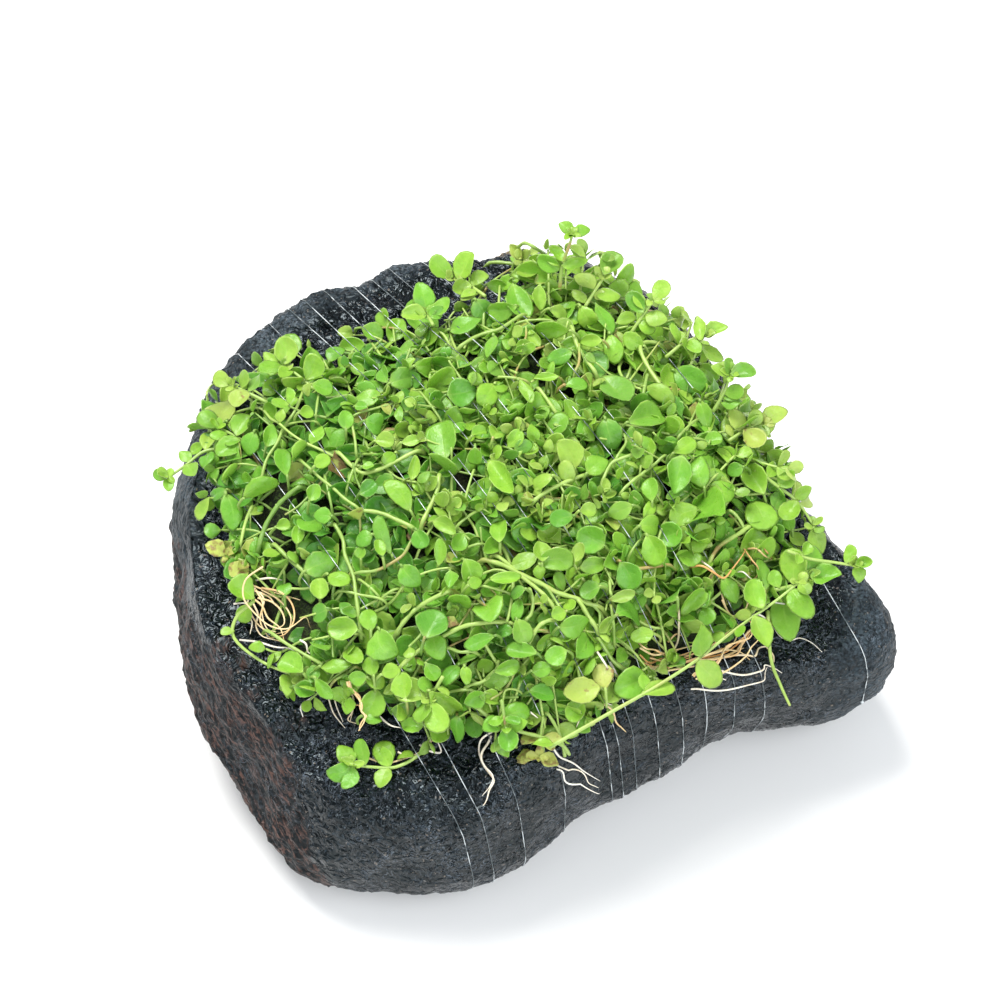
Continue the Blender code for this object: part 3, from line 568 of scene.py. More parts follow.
# Nylon line: turns across the winding at the back and at the front, and its ends
WINDING_TURNS = (
    (-43.7, -38.5), (-36.0, -35.5), (-25.0, -29.6), (-17.0, -20.4), (-12.5, -9.8), (-9.4, -7.8),
    (-5.0, -5.2), (0.2, -0.7), (4.0, 4.0), (7.7, 8.8), (14.0, 14.0), (18.4, 19.1), (28.5, 29.6),
    (36.0, 37.0),
)
WINDING_SPAN = 60.0
LINE_RADIUS = 0.078
# Space between the line and the rock, points round the line that keep it, and how far it lies in the leaves
LINE_SPACE = 0.05
LINE_SPACE_SIDES = 8
LINE_SINK = 1.0
# Part of the cushion that carries the line, how far above the base a turn ends, and its shortest step
LINE_ON_CUSHION = 0.97
LINE_END_RISE = 0.4
LINE_STEP = 0.35
KNOT_RADIUS = 0.3
KNOT_LENGTH = 0.9
KNOT_HEIGHT = 12.0

# Size and tone of the leaves that stand out, as parts of what the table says
SEEN_SIZE = 0.96
# Their tone is lowered as painted shade, since they lie on top and catch more light than the leaves around
# them
SEEN_TONE = 0.86
# Scatter of that tone, and how they face: upwards, towards the camera, and its scatter
SEEN_TONE_SCATTER = 0.07
SEEN_FACING = (0.5, 0.5, 0.27)
# How far behind and below its leaf a stalk starts
SEEN_STALK_BACK = (0.5, 1.5)
SEEN_STALK_DOWN = (3.0, 4.5)
# Height of those leaves over the cushion, and the ends of even draws for their form
SEEN_LEAF_LIFT = (2.3, 3.3)
SEEN_CUP = (-0.3, 0.4)
SEEN_FOLD = (0.0, 0.6)
SEEN_BEND = (-0.3, 0.9)
# Stems that stand out: thickness as a part of what the table says, height, and how both ends run on and dip
SEEN_STEM_SIZE = 0.85
SEEN_STEM_LIFT = (1.3, 1.9)
SEEN_STEM_END = 1.5
SEEN_STEM_DIP = Vector((0, 0, 2.5))
# What is kept clear for them: a part of each leaf's length, and a width in pixels along each stem. Reach of
# a leaf that would hide them, as a part of its length, and the heights from which it is taken out, by them
# and by a hollow.
CLEAR_LEAF = 0.3
CLEAR_STEM = 1.0
HIDING_REACH = 0.26
CLEAR_ABOVE = 0.2
HOLLOW_ABOVE = -2.2
# Leaves that stand out on the cushion, placed as the camera sees them: pixel of the middle, length in
# pixels, way the tip points in degrees, width as a part of the length, tone from deep to yellow green, and
# age where it isn't fresh
SEEN_LEAVES = (
    # Left edge
    (207, 412, 30, 100, 0.62, 0.45), (222, 413, 28, 80, 0.8, 0.8, 0.25),
    (229, 394, 32, 60, 0.85, 0.65, 0.2), (239, 426, 30, -20, 0.8, 0.45, 0.2), (209, 440, 20, 185, 0.7, 0.3),
    (215, 492, 28, 190, 0.5, 0.35), (229, 512, 42, -80, 0.62, 0.5, 0.05),
    (222, 545, 26, 200, 0.5, 0.75, 0.35), (239, 578, 27, 170, 0.85, 0.4), (244, 613, 20, 250, 0.9, 0.7),
    (253, 382, 38, 175, 0.45, 0.3), (250, 443, 28, 250, 0.85, 0.4), (270, 436, 26, 70, 0.7, 0.5),
    (262, 492, 44, 20, 0.5, 0.55), (285, 462, 32, 100, 0.6, 0.5),
    # Clump at the upper left
    (298, 378, 28, 150, 0.9, 0.7), (306, 362, 34, 60, 0.85, 0.65), (290, 346, 28, 90, 0.8, 0.75, 0.05),
    (271, 372, 24, 120, 0.5, 0.7), (262, 380, 22, 140, 0.6, 0.5), (322, 388, 24, -20, 0.8, 0.6),
    (335, 352, 26, 60, 0.8, 0.45), (352, 346, 28, 10, 0.7, 0.55), (372, 334, 26, -30, 0.8, 0.55),
    (395, 330, 30, 70, 0.7, 0.65), (405, 352, 24, 190, 0.8, 0.6),
    # Left part
    (306, 413, 16, 0, 0.9, 0.75), (322, 462, 20, 30, 0.8, 0.7, 0.1), (314, 493, 20, 60, 0.8, 0.6),
    (323, 516, 20, 180, 0.9, 0.3), (297, 535, 20, 90, 0.7, 0.6), (283, 526, 16, 10, 0.8, 0.6),
    (346, 420, 22, 90, 0.8, 0.55), (375, 423, 24, -10, 0.95, 0.25), (400, 413, 22, 95, 0.5, 0.75),
    (405, 378, 36, 20, 0.7, 0.65), (384, 441, 20, 0, 0.85, 0.85), (411, 441, 22, 10, 0.6, 0.75),
    (390, 457, 16, 220, 0.7, 0.75), (413, 468, 28, 80, 0.45, 0.8), (368, 467, 14, 0, 0.8, 0.45),
    (368, 489, 22, 30, 0.9, 0.2), (398, 496, 44, 130, 0.5, 0.65), (385, 536, 46, 110, 0.35, 0.55),
    (362, 538, 24, 200, 0.8, 0.5), (361, 553, 14, 90, 0.9, 0.6), (380, 549, 20, 110, 0.55, 0.75),
    (368, 395, 30, 190, 0.7, 0.6), (425, 366, 24, 0, 0.9, 0.6), (418, 318, 38, 95, 0.75, 0.55),
    (446, 352, 16, -90, 0.8, 0.35), (440, 362, 26, 200, 0.8, 0.5), (383, 375, 22, 120, 0.7, 0.5),
    # Middle
    (461, 393, 34, 10, 0.9, 0.22), (489, 393, 26, 240, 0.75, 0.8, 0.05), (443, 440, 46, 100, 0.72, 0.55),
    (479, 432, 18, 30, 0.8, 0.8), (497, 431, 18, 60, 0.95, 0.75), (475, 456, 20, 270, 0.8, 0.5),
    (510, 455, 17, 0, 0.8, 0.6), (505, 480, 46, -50, 0.4, 0.6), (527, 478, 20, 90, 0.9, 0.55, 0.25),
    (541, 480, 28, 200, 0.75, 0.8), (567, 455, 36, 120, 0.8, 0.65, 0.22),
    (445, 528, 28, -30, 0.6, 0.75, 0.1), (500, 530, 30, 90, 0.6, 0.65, 0.1),
    (587, 511, 18, 0, 0.8, 0.9, 0.1), (591, 538, 34, 150, 0.95, 0.6), (562, 520, 28, 200, 0.75, 0.2),
    (421, 538, 22, -60, 0.8, 0.3), (438, 553, 28, 90, 0.5, 0.75), (540, 553, 22, 100, 0.8, 0.75),
    (554, 562, 38, 10, 0.6, 0.7), (541, 572, 18, -80, 0.8, 0.7), (593, 566, 30, 10, 0.62, 0.75),
    (590, 590, 24, 200, 0.95, 0.65), (559, 614, 18, 200, 0.9, 0.65), (470, 570, 26, -60, 0.9, 0.5),
    (450, 580, 20, -90, 0.8, 0.5), (466, 586, 18, 250, 0.6, 0.8), (475, 583, 16, 20, 0.8, 0.65),
    (505, 577, 34, 10, 0.45, 0.7), (517, 592, 20, 200, 0.8, 0.5), (489, 612, 28, -70, 0.85, 0.4),
    (516, 608, 24, 250, 0.5, 0.4), (502, 632, 26, 190, 0.6, 0.3), (523, 630, 28, -60, 0.8, 0.35, 0.18),
    (576, 626, 38, 5, 0.75, 0.5), (556, 655, 25, 200, 0.9, 0.5),
    # Back
    (465, 325, 38, 15, 0.6, 0.6), (483, 313, 34, -60, 0.8, 0.5), (491, 347, 28, -100, 0.6, 0.55),
    (508, 281, 26, 190, 0.7, 0.65), (532, 283, 44, -15, 0.42, 0.7), (537, 263, 26, -10, 0.8, 0.7, 0.1),
    (518, 256, 18, 60, 0.7, 0.6), (475, 285, 26, -60, 0.7, 0.75, 0.1), (497, 286, 22, -10, 0.7, 0.65, 0.05),
    (552, 331, 40, 180, 0.62, 0.65), (586, 316, 28, -60, 0.75, 0.75), (592, 275, 34, 200, 0.5, 0.65),
    (580, 292, 36, -10, 0.7, 0.6), (540, 298, 28, -90, 0.55, 0.85, 0.05), (560, 313, 26, -20, 0.6, 0.85),
    (590, 341, 28, 180, 0.5, 0.7), (520, 301, 38, -70, 0.6, 0.55), (604, 318, 36, -60, 0.5, 0.25),
    (576, 385, 26, 0, 0.8, 0.35), (546, 377, 26, 180, 0.4, 0.75), (549, 370, 22, 80, 0.5, 0.75),
    (525, 391, 30, -60, 0.4, 0.6), (503, 310, 30, 200, 0.7, 0.5), (560, 355, 30, 200, 0.6, 0.25),
    # Right part
    (648, 417, 48, 15, 0.6, 0.5), (617, 392, 42, -50, 0.66, 0.6, 0.1), (608, 434, 36, -80, 0.8, 0.45),
    (597, 465, 30, 40, 0.8, 0.55), (658, 394, 34, -30, 0.5, 0.8, 0.1), (690, 378, 40, -25, 0.75, 0.35),
    (612, 346, 30, -80, 0.6, 0.6), (626, 320, 24, 20, 0.6, 0.8, 0.12), (650, 325, 40, -45, 0.6, 0.55),
    (635, 290, 26, 70, 0.7, 0.6), (634, 340, 26, 150, 0.75, 0.8), (700, 330, 28, -80, 0.5, 0.8),
    (701, 470, 40, 100, 0.62, 0.55), (677, 475, 40, 250, 0.65, 0.5), (652, 490, 26, 90, 0.7, 0.55),
    (705, 510, 30, -20, 0.8, 0.45), (685, 515, 30, 200, 0.75, 0.7), (650, 510, 24, 60, 0.5, 0.6),
    (651, 526, 26, 0, 0.75, 0.6), (765, 445, 20, 30, 0.8, 0.75), (755, 480, 38, 120, 0.7, 0.65),
    (735, 470, 20, 200, 0.8, 0.25), (760, 510, 30, -60, 0.75, 0.65, 0.15),
    (620, 510, 30, 200, 0.7, 0.45, 0.18), (655, 549, 36, -60, 0.85, 0.65), (628, 575, 34, -60, 0.85, 0.35),
    (632, 612, 36, 10, 0.7, 0.4), (622, 596, 28, 20, 0.45, 0.4, 0.25), (730, 430, 34, -80, 0.5, 0.75),
    (704, 415, 34, -75, 0.5, 0.5), (710, 372, 28, -40, 0.7, 0.6), (712, 440, 20, 20, 0.8, 0.5),
    (684, 447, 28, 30, 0.6, 0.65), (672, 590, 18, 120, 0.8, 0.5), (673, 612, 16, 0, 0.9, 0.45),
    (705, 615, 22, -80, 0.8, 0.5), (730, 590, 34, -60, 0.6, 0.65), (762, 575, 36, 100, 0.6, 0.6),
    (642, 636, 26, 190, 0.7, 0.65, 0.1),
    # Front
    (480, 641, 36, 200, 0.5, 0.3), (522, 651, 34, 170, 0.6, 0.3, 0.12), (506, 667, 28, 20, 0.6, 0.55),
    (530, 655, 22, -60, 0.35, 0.8), (541, 669, 22, 10, 0.8, 0.55), (541, 693, 26, -5, 0.85, 0.22),
    (343, 628, 34, 170, 0.78, 0.7), (387, 643, 36, -60, 0.9, 0.55), (371, 620, 24, 90, 0.8, 0.6),
    (432, 625, 32, 60, 0.95, 0.25), (437, 646, 28, -70, 0.8, 0.4), (410, 576, 30, -50, 0.8, 0.3),
    (322, 565, 40, 20, 0.7, 0.65), (320, 589, 22, 90, 0.9, 0.65), (338, 578, 26, -20, 0.8, 0.65),
    (318, 612, 24, 200, 0.8, 0.22), (285, 588, 18, 90, 0.9, 0.3), (358, 677, 20, 180, 0.9, 0.6),
    (372, 666, 22, 100, 0.8, 0.65), (375, 682, 24, -20, 0.8, 0.7), (391, 673, 22, 10, 0.8, 0.75),
    (372, 702, 30, 250, 0.85, 0.65), (372, 716, 22, 0, 0.6, 0.5), (293, 667, 28, 150, 0.8, 0.65),
    (304, 690, 24, -20, 0.8, 0.25), (324, 688, 30, -50, 0.5, 0.65), (336, 665, 36, 5, 0.45, 0.6),
    (425, 700, 30, -80, 0.75, 0.4), (404, 686, 28, 100, 0.85, 0.7), (443, 704, 42, -45, 0.68, 0.75, 0.05),
    (457, 729, 28, -90, 0.9, 0.25), (412, 725, 26, 180, 0.7, 0.45), (474, 697, 26, 200, 0.85, 0.55),
    (490, 699, 24, -10, 0.7, 0.7), (514, 713, 38, 20, 0.6, 0.45), (507, 744, 25, -90, 0.65, 0.7),
    (466, 675, 20, -80, 0.6, 0.6), (431, 672, 22, -60, 0.8, 0.5), (450, 672, 26, 220, 0.7, 0.3),
    (582, 691, 40, 190, 0.75, 0.9, 0.3), (603, 676, 28, 100, 0.8, 0.9, 0.4),
    (633, 684, 42, 200, 0.75, 0.65),
    # Right edge
    (791, 560, 42, 95, 0.58, 0.75), (802, 577, 30, -55, 0.8, 0.7), (786, 618, 52, -80, 0.64, 0.6, 0.1),
    (788, 590, 30, -80, 0.7, 0.55, 0.05), (779, 500, 26, 60, 0.6, 0.7), (790, 520, 26, 100, 0.6, 0.55),
)
# Stems that lie on top of the cushion: radius in millimetres, tone, and the pixels they pass through
SEEN_STEMS = (
    (0.34, 0.8, (303, 392), (295, 411), (284, 427), (277, 443), (267, 459), (262, 477)),
    (0.28, 0.9, (235, 413), (259, 408), (271, 419), (280, 424)), (0.26, 0.8, (240, 393), (255, 404)),
    (0.24, 0.8, (289, 424), (313, 421)),
    (0.42, 0.95, (339, 453), (353, 467), (364, 473), (380, 469), (399, 460), (417, 451)),
    (0.34, 0.75, (300, 460), (319, 477), (333, 488), (345, 499), (359, 509)),
    (0.46, 0.8, (361, 511), (380, 513), (397, 520), (413, 528)),
    (0.26, 0.7, (355, 415), (373, 409), (399, 403)), (0.3, 0.7, (352, 424), (355, 440), (356, 451)),
    (0.34, 0.95, (251, 508), (245, 524), (241, 543)),
    (0.5, 0.3, (299, 487), (284, 499), (276, 508), (265, 527), (259, 547)),
    (0.46, 0.7, (275, 545), (287, 557), (305, 573)),
    (0.4, 0.65, (335, 525), (343, 540), (345, 555), (353, 575), (356, 596), (360, 625)),
    (0.34, 0.6, (412, 540), (403, 555), (388, 565), (374, 571), (356, 573)),
    (0.26, 0.7, (319, 392), (316, 413)), (0.28, 0.7, (357, 461), (348, 484)),
    (0.28, 0.5, (325, 477), (331, 504)), (0.24, 0.9, (480, 364), (487, 380)),
    (0.28, 0.7, (421, 393), (439, 417)), (0.3, 0.85, (499, 377), (524, 380)),
    (0.4, 0.95, (540, 390), (559, 418)), (0.46, 0.85, (535, 500), (553, 488), (585, 475)),
    (0.46, 0.95, (439, 476), (437, 491), (431, 505), (423, 521)), (0.26, 0.8, (473, 472), (465, 500)),
    (0.26, 0.7, (492, 485), (487, 500)), (0.3, 0.7, (459, 524), (477, 511)),
    (0.3, 0.6, (469, 547), (483, 544)), (0.26, 0.8, (556, 478), (568, 501)),
    (0.44, 0.95, (661, 345), (650, 342), (642, 344), (641, 352), (650, 370), (665, 391), (673, 399)),
    (0.36, 0.6, (647, 376), (643, 395)), (0.36, 0.8, (603, 480), (611, 464), (620, 459), (633, 455)),
    (0.34, 0.7, (641, 475), (655, 464), (664, 456)), (0.34, 0.8, (621, 493), (629, 484), (641, 475)),
    (0.3, 0.7, (624, 435), (626, 443), (617, 457)), (0.3, 0.7, (680, 435), (696, 420)),
    (0.3, 0.7, (687, 439), (703, 440)), (0.46, 0.95, (712, 557), (721, 545), (740, 533), (749, 527)),
    (0.34, 0.8, (744, 529), (739, 519), (731, 511)), (0.24, 0.7, (631, 552), (640, 540)),
    (0.3, 0.75, (341, 591), (361, 595), (381, 599)), (0.3, 0.7, (360, 580), (376, 593)),
    (0.28, 0.7, (383, 597), (396, 589)), (0.46, 0.8, (397, 632), (409, 616), (423, 604), (447, 592)),
    (0.46, 0.95, (396, 672), (413, 655), (432, 643), (457, 629), (474, 624), (498, 622), (512, 624)),
    (0.38, 0.75, (268, 631), (287, 644), (307, 656), (321, 664)),
    (0.3, 0.7, (335, 680), (348, 673), (355, 667)),
    (0.42, 0.75, (461, 346), (480, 335), (500, 329), (522, 315)),
    (0.42, 0.9, (567, 283), (573, 292), (580, 310)),
    (0.46, 0.9, (572, 327), (577, 345), (586, 360), (595, 372)),
    (0.3, 0.75, (579, 345), (579, 362), (575, 372)), (0.42, 0.7, (490, 263), (505, 263), (518, 266)),
    (0.4, 0.7, (525, 243), (537, 249), (550, 258)), (0.28, 0.95, (369, 340), (382, 358)),
    (0.32, 0.95, (766, 476), (794, 487)), (0.3, 0.75, (560, 278), (580, 281), (600, 286)),
    (
        0.5, 0.9, (485, 560), (505, 566), (520, 574), (540, 583), (556, 592), (575, 598), (590, 604),
        (600, 607),
    ),
    (0.42, 1.0, (497, 556), (510, 566), (522, 577), (535, 587), (547, 598), (556, 612)),
    (0.26, 0.98, (480, 576), (490, 571), (500, 570), (515, 576)),
    (0.3, 0.7, (547, 588), (555, 600), (562, 612)), (0.24, 0.98, (408, 582), (427, 572), (450, 568)),
    (0.5, 0.9, (579, 601), (588, 616), (597, 629)), (0.3, 0.6, (590, 604), (599, 612), (600, 622)),
    (0.34, 0.8, (610, 575), (610, 590), (612, 597)),
    (0.42, 0.95, (528, 646), (532, 637), (540, 625), (551, 620)),
    (0.3, 0.7, (611, 606), (613, 620), (614, 630)),
    (0.38, 0.85, (468, 686), (482, 682), (496, 670), (498, 662)),
    (0.34, 0.9, (485, 645), (492, 656), (497, 664)), (0.34, 0.7, (448, 648), (460, 652), (474, 652)),
    (0.38, 0.75, (530, 590), (533, 602), (531, 614), (526, 620)),
    (0.28, 0.8, (480, 586), (492, 588), (510, 594)),
    (0.38, 0.8, (474, 706), (490, 718), (500, 726), (510, 735)),
    (0.4, 0.75, (505, 727), (525, 733), (545, 738), (562, 745)),
    (0.36, 0.8, (548, 714), (556, 727), (562, 742)), (0.26, 0.75, (543, 718), (541, 735), (543, 745)),
    (0.38, 0.8, (630, 571), (645, 568), (668, 565)), (0.36, 0.6, (600, 640), (612, 660), (625, 672)),
    (0.3, 0.8, (518, 323), (535, 320), (552, 321)), (0.24, 0.95, (526, 327), (526, 336), (523, 345)),
    (0.34, 0.75, (440, 700), (450, 692), (470, 690)),
    (0.24, 0.95, (497, 726), (503, 700), (506, 690), (517, 690)),
    (0.4, 0.85, (600, 295), (615, 298), (632, 301)), (0.26, 0.9, (232, 384), (214, 384), (207, 392)),
    (0.26, 0.8, (262, 366), (246, 378), (236, 378)),
)
# Dark hollows between the leaves: pixel of the middle and radius
SEEN_HOLLOWS = (
    (276, 618, 25), (300, 636, 13), (262, 600, 12), (275, 510, 9), (270, 531, 8), (462, 478, 5),
    (478, 395, 7), (527, 366, 11), (541, 387, 7), (634, 378, 8), (640, 384, 7), (612, 372, 7),
    (727, 590, 9), (732, 606, 7), (529, 592, 7), (606, 612, 8), (463, 352, 6), (346, 636, 5),
    (660, 645, 10), (680, 640, 9), (640, 655, 8), (475, 525, 7), (498, 300, 9), (445, 316, 12),
    (470, 296, 8), (436, 676, 7), (620, 610, 5), (690, 425, 6),
)
# Ends of the sprigs that reach out over the cushion's edge, in pixels
SEEN_EDGE = (
    (203, 425), (216, 402), (236, 384), (262, 364), (283, 350), (312, 352), (332, 350), (350, 335),
    (372, 328), (392, 320), (406, 330), (436, 330), (452, 322), (470, 306), (486, 298), (500, 282),
    (512, 268), (528, 255), (548, 250), (566, 250), (584, 256), (602, 262), (612, 276), (628, 290),
    (646, 300), (660, 312), (676, 318), (692, 322), (704, 334), (704, 352), (716, 368), (724, 384),
    (738, 398), (752, 412), (760, 428), (768, 444), (778, 458), (788, 470), (794, 488), (800, 505),
    (806, 528), (808, 548), (812, 566), (800, 580), (786, 590), (205, 445), (212, 470), (206, 498),
    (222, 530), (232, 548), (250, 570), (272, 590), (300, 618), (312, 640), (330, 680), (352, 690),
    (372, 722), (398, 715), (418, 732), (448, 738), (470, 712), (492, 712), (508, 722), (522, 730),
    (545, 728), (560, 738), (585, 712), (610, 695), (632, 690), (650, 672), (668, 664), (690, 650),
    (712, 634), (735, 618), (758, 600), (290, 690), (310, 700), (345, 700), (430, 740), (500, 738),
)
# Roots seen one by one, dealt to the bundle they hang with: tone from white to orange, and pixels
SEEN_ROOTS = {
    "roots_right_upper": (
        (0.7, (700, 660), (720, 658), (737, 650), (748, 632), (766, 622), (780, 616), (782, 600)),
        (0.8, (698, 658), (722, 654), (742, 640), (752, 626), (745, 617)),
        (0.6, (702, 657), (728, 648), (737, 636), (738, 624)),
        (
            0.3, (703, 661), (726, 656), (745, 655), (755, 656), (759, 648), (768, 645), (767, 634),
            (756, 622),
        ),
        (0.75, (705, 660), (735, 655), (742, 645), (751, 632)),
        (
            0.15, (748, 620), (757, 614), (770, 622), (780, 636), (791, 640), (800, 638), (812, 643),
            (822, 652),
        ),
        (0.1, (773, 602), (785, 604), (801, 606)), (0.2, (766, 646), (773, 655), (774, 662)),
        (0.8, (690, 567), (702, 566), (713, 572), (724, 578), (733, 568), (742, 556), (746, 549)),
        (0.8, (744, 549), (752, 560), (758, 568), (756, 577), (744, 582)),
        (0.75, (748, 549), (757, 549), (765, 556), (773, 560)), (0.8, (760, 543), (766, 551), (773, 559)),
        (
            0.55, (720, 580), (722, 595), (727, 610), (733, 616), (743, 612), (749, 600), (747, 590),
            (736, 584),
        ),
        (0.1, (700, 560), (711, 568), (716, 573)), (0.15, (735, 572), (743, 572), (750, 578), (755, 582)),
        (0.6, (722, 600), (728, 612), (736, 618), (748, 612)), (0.5, (728, 618), (727, 626), (735, 630)),
    ),
    "roots_right_lower": (
        (
            0.05, (701, 665), (722, 671), (742, 675), (758, 672), (764, 669), (765, 665), (774, 668),
            (782, 673),
        ),
        (0.05, (706, 668), (716, 676), (726, 680)),
        (0.8, (640, 655), (650, 663), (664, 658), (680, 660), (692, 657)),
        (0.7, (636, 640), (645, 648), (655, 650), (670, 655), (690, 655)),
        (0.5, (648, 668), (660, 666), (675, 660)),
        (
            0.35, (678, 598), (679, 620), (678, 640), (672, 652), (662, 665), (654, 669), (648, 665),
            (644, 658),
        ),
        (0.6, (700, 650), (715, 640), (722, 632)), (0.55, (668, 642), (676, 634), (682, 636)),
        (0.7, (643, 663), (660, 668), (680, 664), (700, 658), (722, 648)),
        (0.6, (650, 658), (668, 662), (690, 655), (712, 645), (730, 630)),
        (0.8, (655, 650), (672, 657), (695, 650), (715, 640)),
        (0.65, (640, 648), (655, 655), (676, 650), (698, 644)),
        (0.5, (660, 672), (682, 668), (704, 664), (726, 655), (744, 648)),
        (0.75, (668, 668), (690, 660), (716, 652), (740, 640), (752, 628)),
        (0.4, (690, 664), (706, 655), (724, 650), (740, 652), (750, 660)),
    ),
    "roots_left_loop": (
        (0.3, (246, 590), (258, 592), (264, 600), (262, 612), (265, 625), (272, 635)),
        (0.6, (250, 596), (262, 606), (268, 618), (280, 628), (284, 640)),
        (0.25, (255, 588), (252, 600), (258, 614), (256, 626), (262, 636), (275, 640)),
        (0.5, (262, 590), (275, 597), (285, 606), (291, 618), (288, 630), (276, 634)),
        (0.5, (258, 598), (272, 602), (282, 612), (284, 624), (274, 630)),
        (0.05, (240, 640), (258, 642), (275, 647), (288, 648), (300, 653)),
        (0.1, (234, 604), (244, 603), (250, 606)),
        (0.55, (238, 577), (248, 583), (262, 589), (280, 594), (300, 600)),
        (0.1, (256, 580), (270, 578), (282, 580)), (0.2, (248, 600), (246, 612), (252, 622), (250, 634)),
        (0.35, (252, 590), (268, 596), (276, 606)),
        (0.7, (262, 588), (280, 592), (292, 604), (294, 620), (285, 634), (270, 638)),
        (0.55, (256, 590), (263, 604), (260, 620), (268, 636), (282, 642)),
        (0.4, (246, 602), (252, 616), (262, 628), (276, 632)),
    ),
    "root_front_orange": (
        (0.05, (313, 697), (301, 706), (303, 717)), (0.2, (328, 697), (333, 712), (340, 722), (345, 728)),
        (0.3, (334, 693), (336, 705), (343, 722)), (0.1, (350, 690), (354, 703), (350, 722)),
        (0.8, (352, 705), (360, 706), (364, 715), (359, 730)),
        (0.3, (352, 703), (352, 712), (348, 720), (358, 724)), (0.2, (378, 715), (390, 725), (402, 728)),
        (0.05, (287, 680), (303, 690), (313, 683)), (0.1, (300, 640), (306, 644), (308, 652), (314, 655)),
        (0.45, (365, 757), (385, 763), (400, 760), (420, 752), (434, 738), (440, 720)),
        (0.2, (398, 752), (410, 757), (425, 750), (432, 736)),
        (0.1, (420, 745), (430, 751), (441, 752), (436, 738)),
    ),
    "root_front_white": (
        (
            0.05, (497, 728), (490, 733), (481, 740), (479, 752), (484, 765), (493, 776), (490, 786),
            (482, 796),
        ),
        (0.1, (494, 697), (498, 708), (499, 720)),
    ),
    "root_front_right": (
        (0.0, (553, 748), (560, 757), (573, 763), (585, 772), (600, 781)),
        (0.7, (600, 702), (612, 710), (616, 722), (622, 728), (626, 732)),
        (0.05, (592, 690), (600, 695), (607, 703), (612, 705)), (0.1, (610, 662), (617, 675), (620, 682)),
        (0.1, (596, 650), (604, 662), (612, 676), (616, 690)), (0.15, (573, 700), (580, 715), (576, 728)),
        (0.1, (530, 712), (538, 718)),
    ),
}


def spread(rows, angle):
    """Row of values at an angle, eased through the listed rows around the circle."""
    table = np.array(rows, float)
    turns = np.concatenate([table[-2:, 0] - 360, table[:, 0], table[:2, 0] + 360])
    values = np.concatenate([table[-2:, 1:], table[:, 1:], table[:2, 1:]])
    angle = angle % 360.0
    i = int(np.searchsorted(turns, angle, side="right")) - 1
    step = turns[i + 1] - turns[i]
    t = (angle - turns[i]) / step
    slope_in = (values[i + 1] - values[i - 1]) / (turns[i + 1] - turns[i - 1]) * step
    slope_out = (values[i + 2] - values[i]) / (turns[i + 2] - turns[i]) * step
    return (
        (2 * t**3 - 3 * t**2 + 1) * values[i]
        + (t**3 - 2 * t**2 + t) * slope_in
        + (3 * t**2 - 2 * t**3) * values[i + 1]
        + (t**3 - t**2) * slope_out
    )


def smooth(low, high, value):
    """Ease from 0 at low to 1 at high."""
    part = np.clip((value - low) / (high - low), 0.0, 1.0)
    return part * part * (3.0 - 2.0 * part)


def add_mesh(name, verts, faces, materials, face_slots=None, attributes=None, uv=None):
    """Object of a mesh given in millimetres, riding on the part, with its colours kept as attributes."""
    mesh = bpy.data.meshes.new(name)
    mesh.from_pydata(((np.asarray(verts) + FRAME_SHIFT) * MM).tolist(), [], faces)
    for material in materials:
        mesh.materials.append(material)
    if face_slots is not None:
        mesh.polygons.foreach_set("material_index", np.asarray(face_slots, np.int32))
    for label, values in (attributes or {}).items():
        colours = mesh.color_attributes.new(label, "FLOAT_COLOR", "POINT")
        colours.data.foreach_set("color", np.asarray(values, np.float32).ravel())
    if uv is not None:
        layer = mesh.uv_layers.new(name="blade")
        corners = np.zeros(len(mesh.loops), np.int32)
        mesh.loops.foreach_get("vertex_index", corners)
        layer.data.foreach_set("uv", np.asarray(uv, np.float32)[corners].ravel())
    mesh.shade_smooth()
    piece = bpy.data.objects.new(name, mesh)
    bpy.context.scene.collection.objects.link(piece)
    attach(piece, BODY)
    return piece


# Rock


def rock_profile(angle):
    """Distances and heights of the rock's skin at one angle, from the top's middle to the base's."""
    belly, belly_z, rim, rim_z, foot, shoulder, under = spread(ROCK_STATIONS, angle)
    points = [(rim * part, ROCK_TOP + (rim_z - ROCK_TOP) * part**2) for part in TOP_PARTS]
    for turn in np.radians(np.arange(SHOULDER_STEPS) * 90.0 / SHOULDER_STEPS):
        out = math.sin(turn) ** (2.0 / shoulder)
        up = math.cos(turn) ** (2.0 / shoulder)
        points.append((rim + (belly - rim) * out, belly_z + (rim_z - belly_z) * up))
    for turn in np.radians(np.arange(UNDER_STEPS + 1) * 90.0 / UNDER_STEPS):
        out = max(math.cos(turn), 0.0) ** (2.0 / under)
        down = math.sin(turn) ** (2.0 / under)
        points.append((foot + (belly - foot) * out, belly_z + (ROCK_FLOOR - belly_z) * down))
    points += [(foot * part, ROCK_FLOOR) for part in BASE_PARTS]
    return points


def around(angle, band):
    """How much an angle lies in a band given by its middle and half width, from 0 to 1."""
    away = np.abs((angle - band[0] + 180.0) % 360.0 - 180.0)
    return 1.0 - smooth(band[1] * BAND_CORE, band[1], away)


def brown_part(verts):
    """How much each place lies on the broken brown face, from 0 to 1."""
    angle = np.degrees(np.arctan2(verts[:, 1], verts[:, 0])) % 360.0
    ridge = np.array(BROWN_RIDGE, float)
    height = np.interp(angle, ridge[:, 0], ridge[:, 1], left=-20.0, right=-20.0)
    ragged = np.array([noise.noise(Vector(place) / BROWN_RAGGED[0]) for place in verts])
    return smooth(-BROWN_SOFT, BROWN_SOFT, height + BROWN_RAGGED[1] * ragged - verts[:, 2])


def rock_relief(place):
    """Broad lumps of the rock's skin at a place."""
    height = sum(amount * noise.noise(place / size) for size, amount in ROCK_LUMPS)
    for centre, reach, depth in ROCK_DENTS:
        distance = (place - Vector(centre)).length / reach
        height -= depth * math.exp(-distance * distance)
    return height


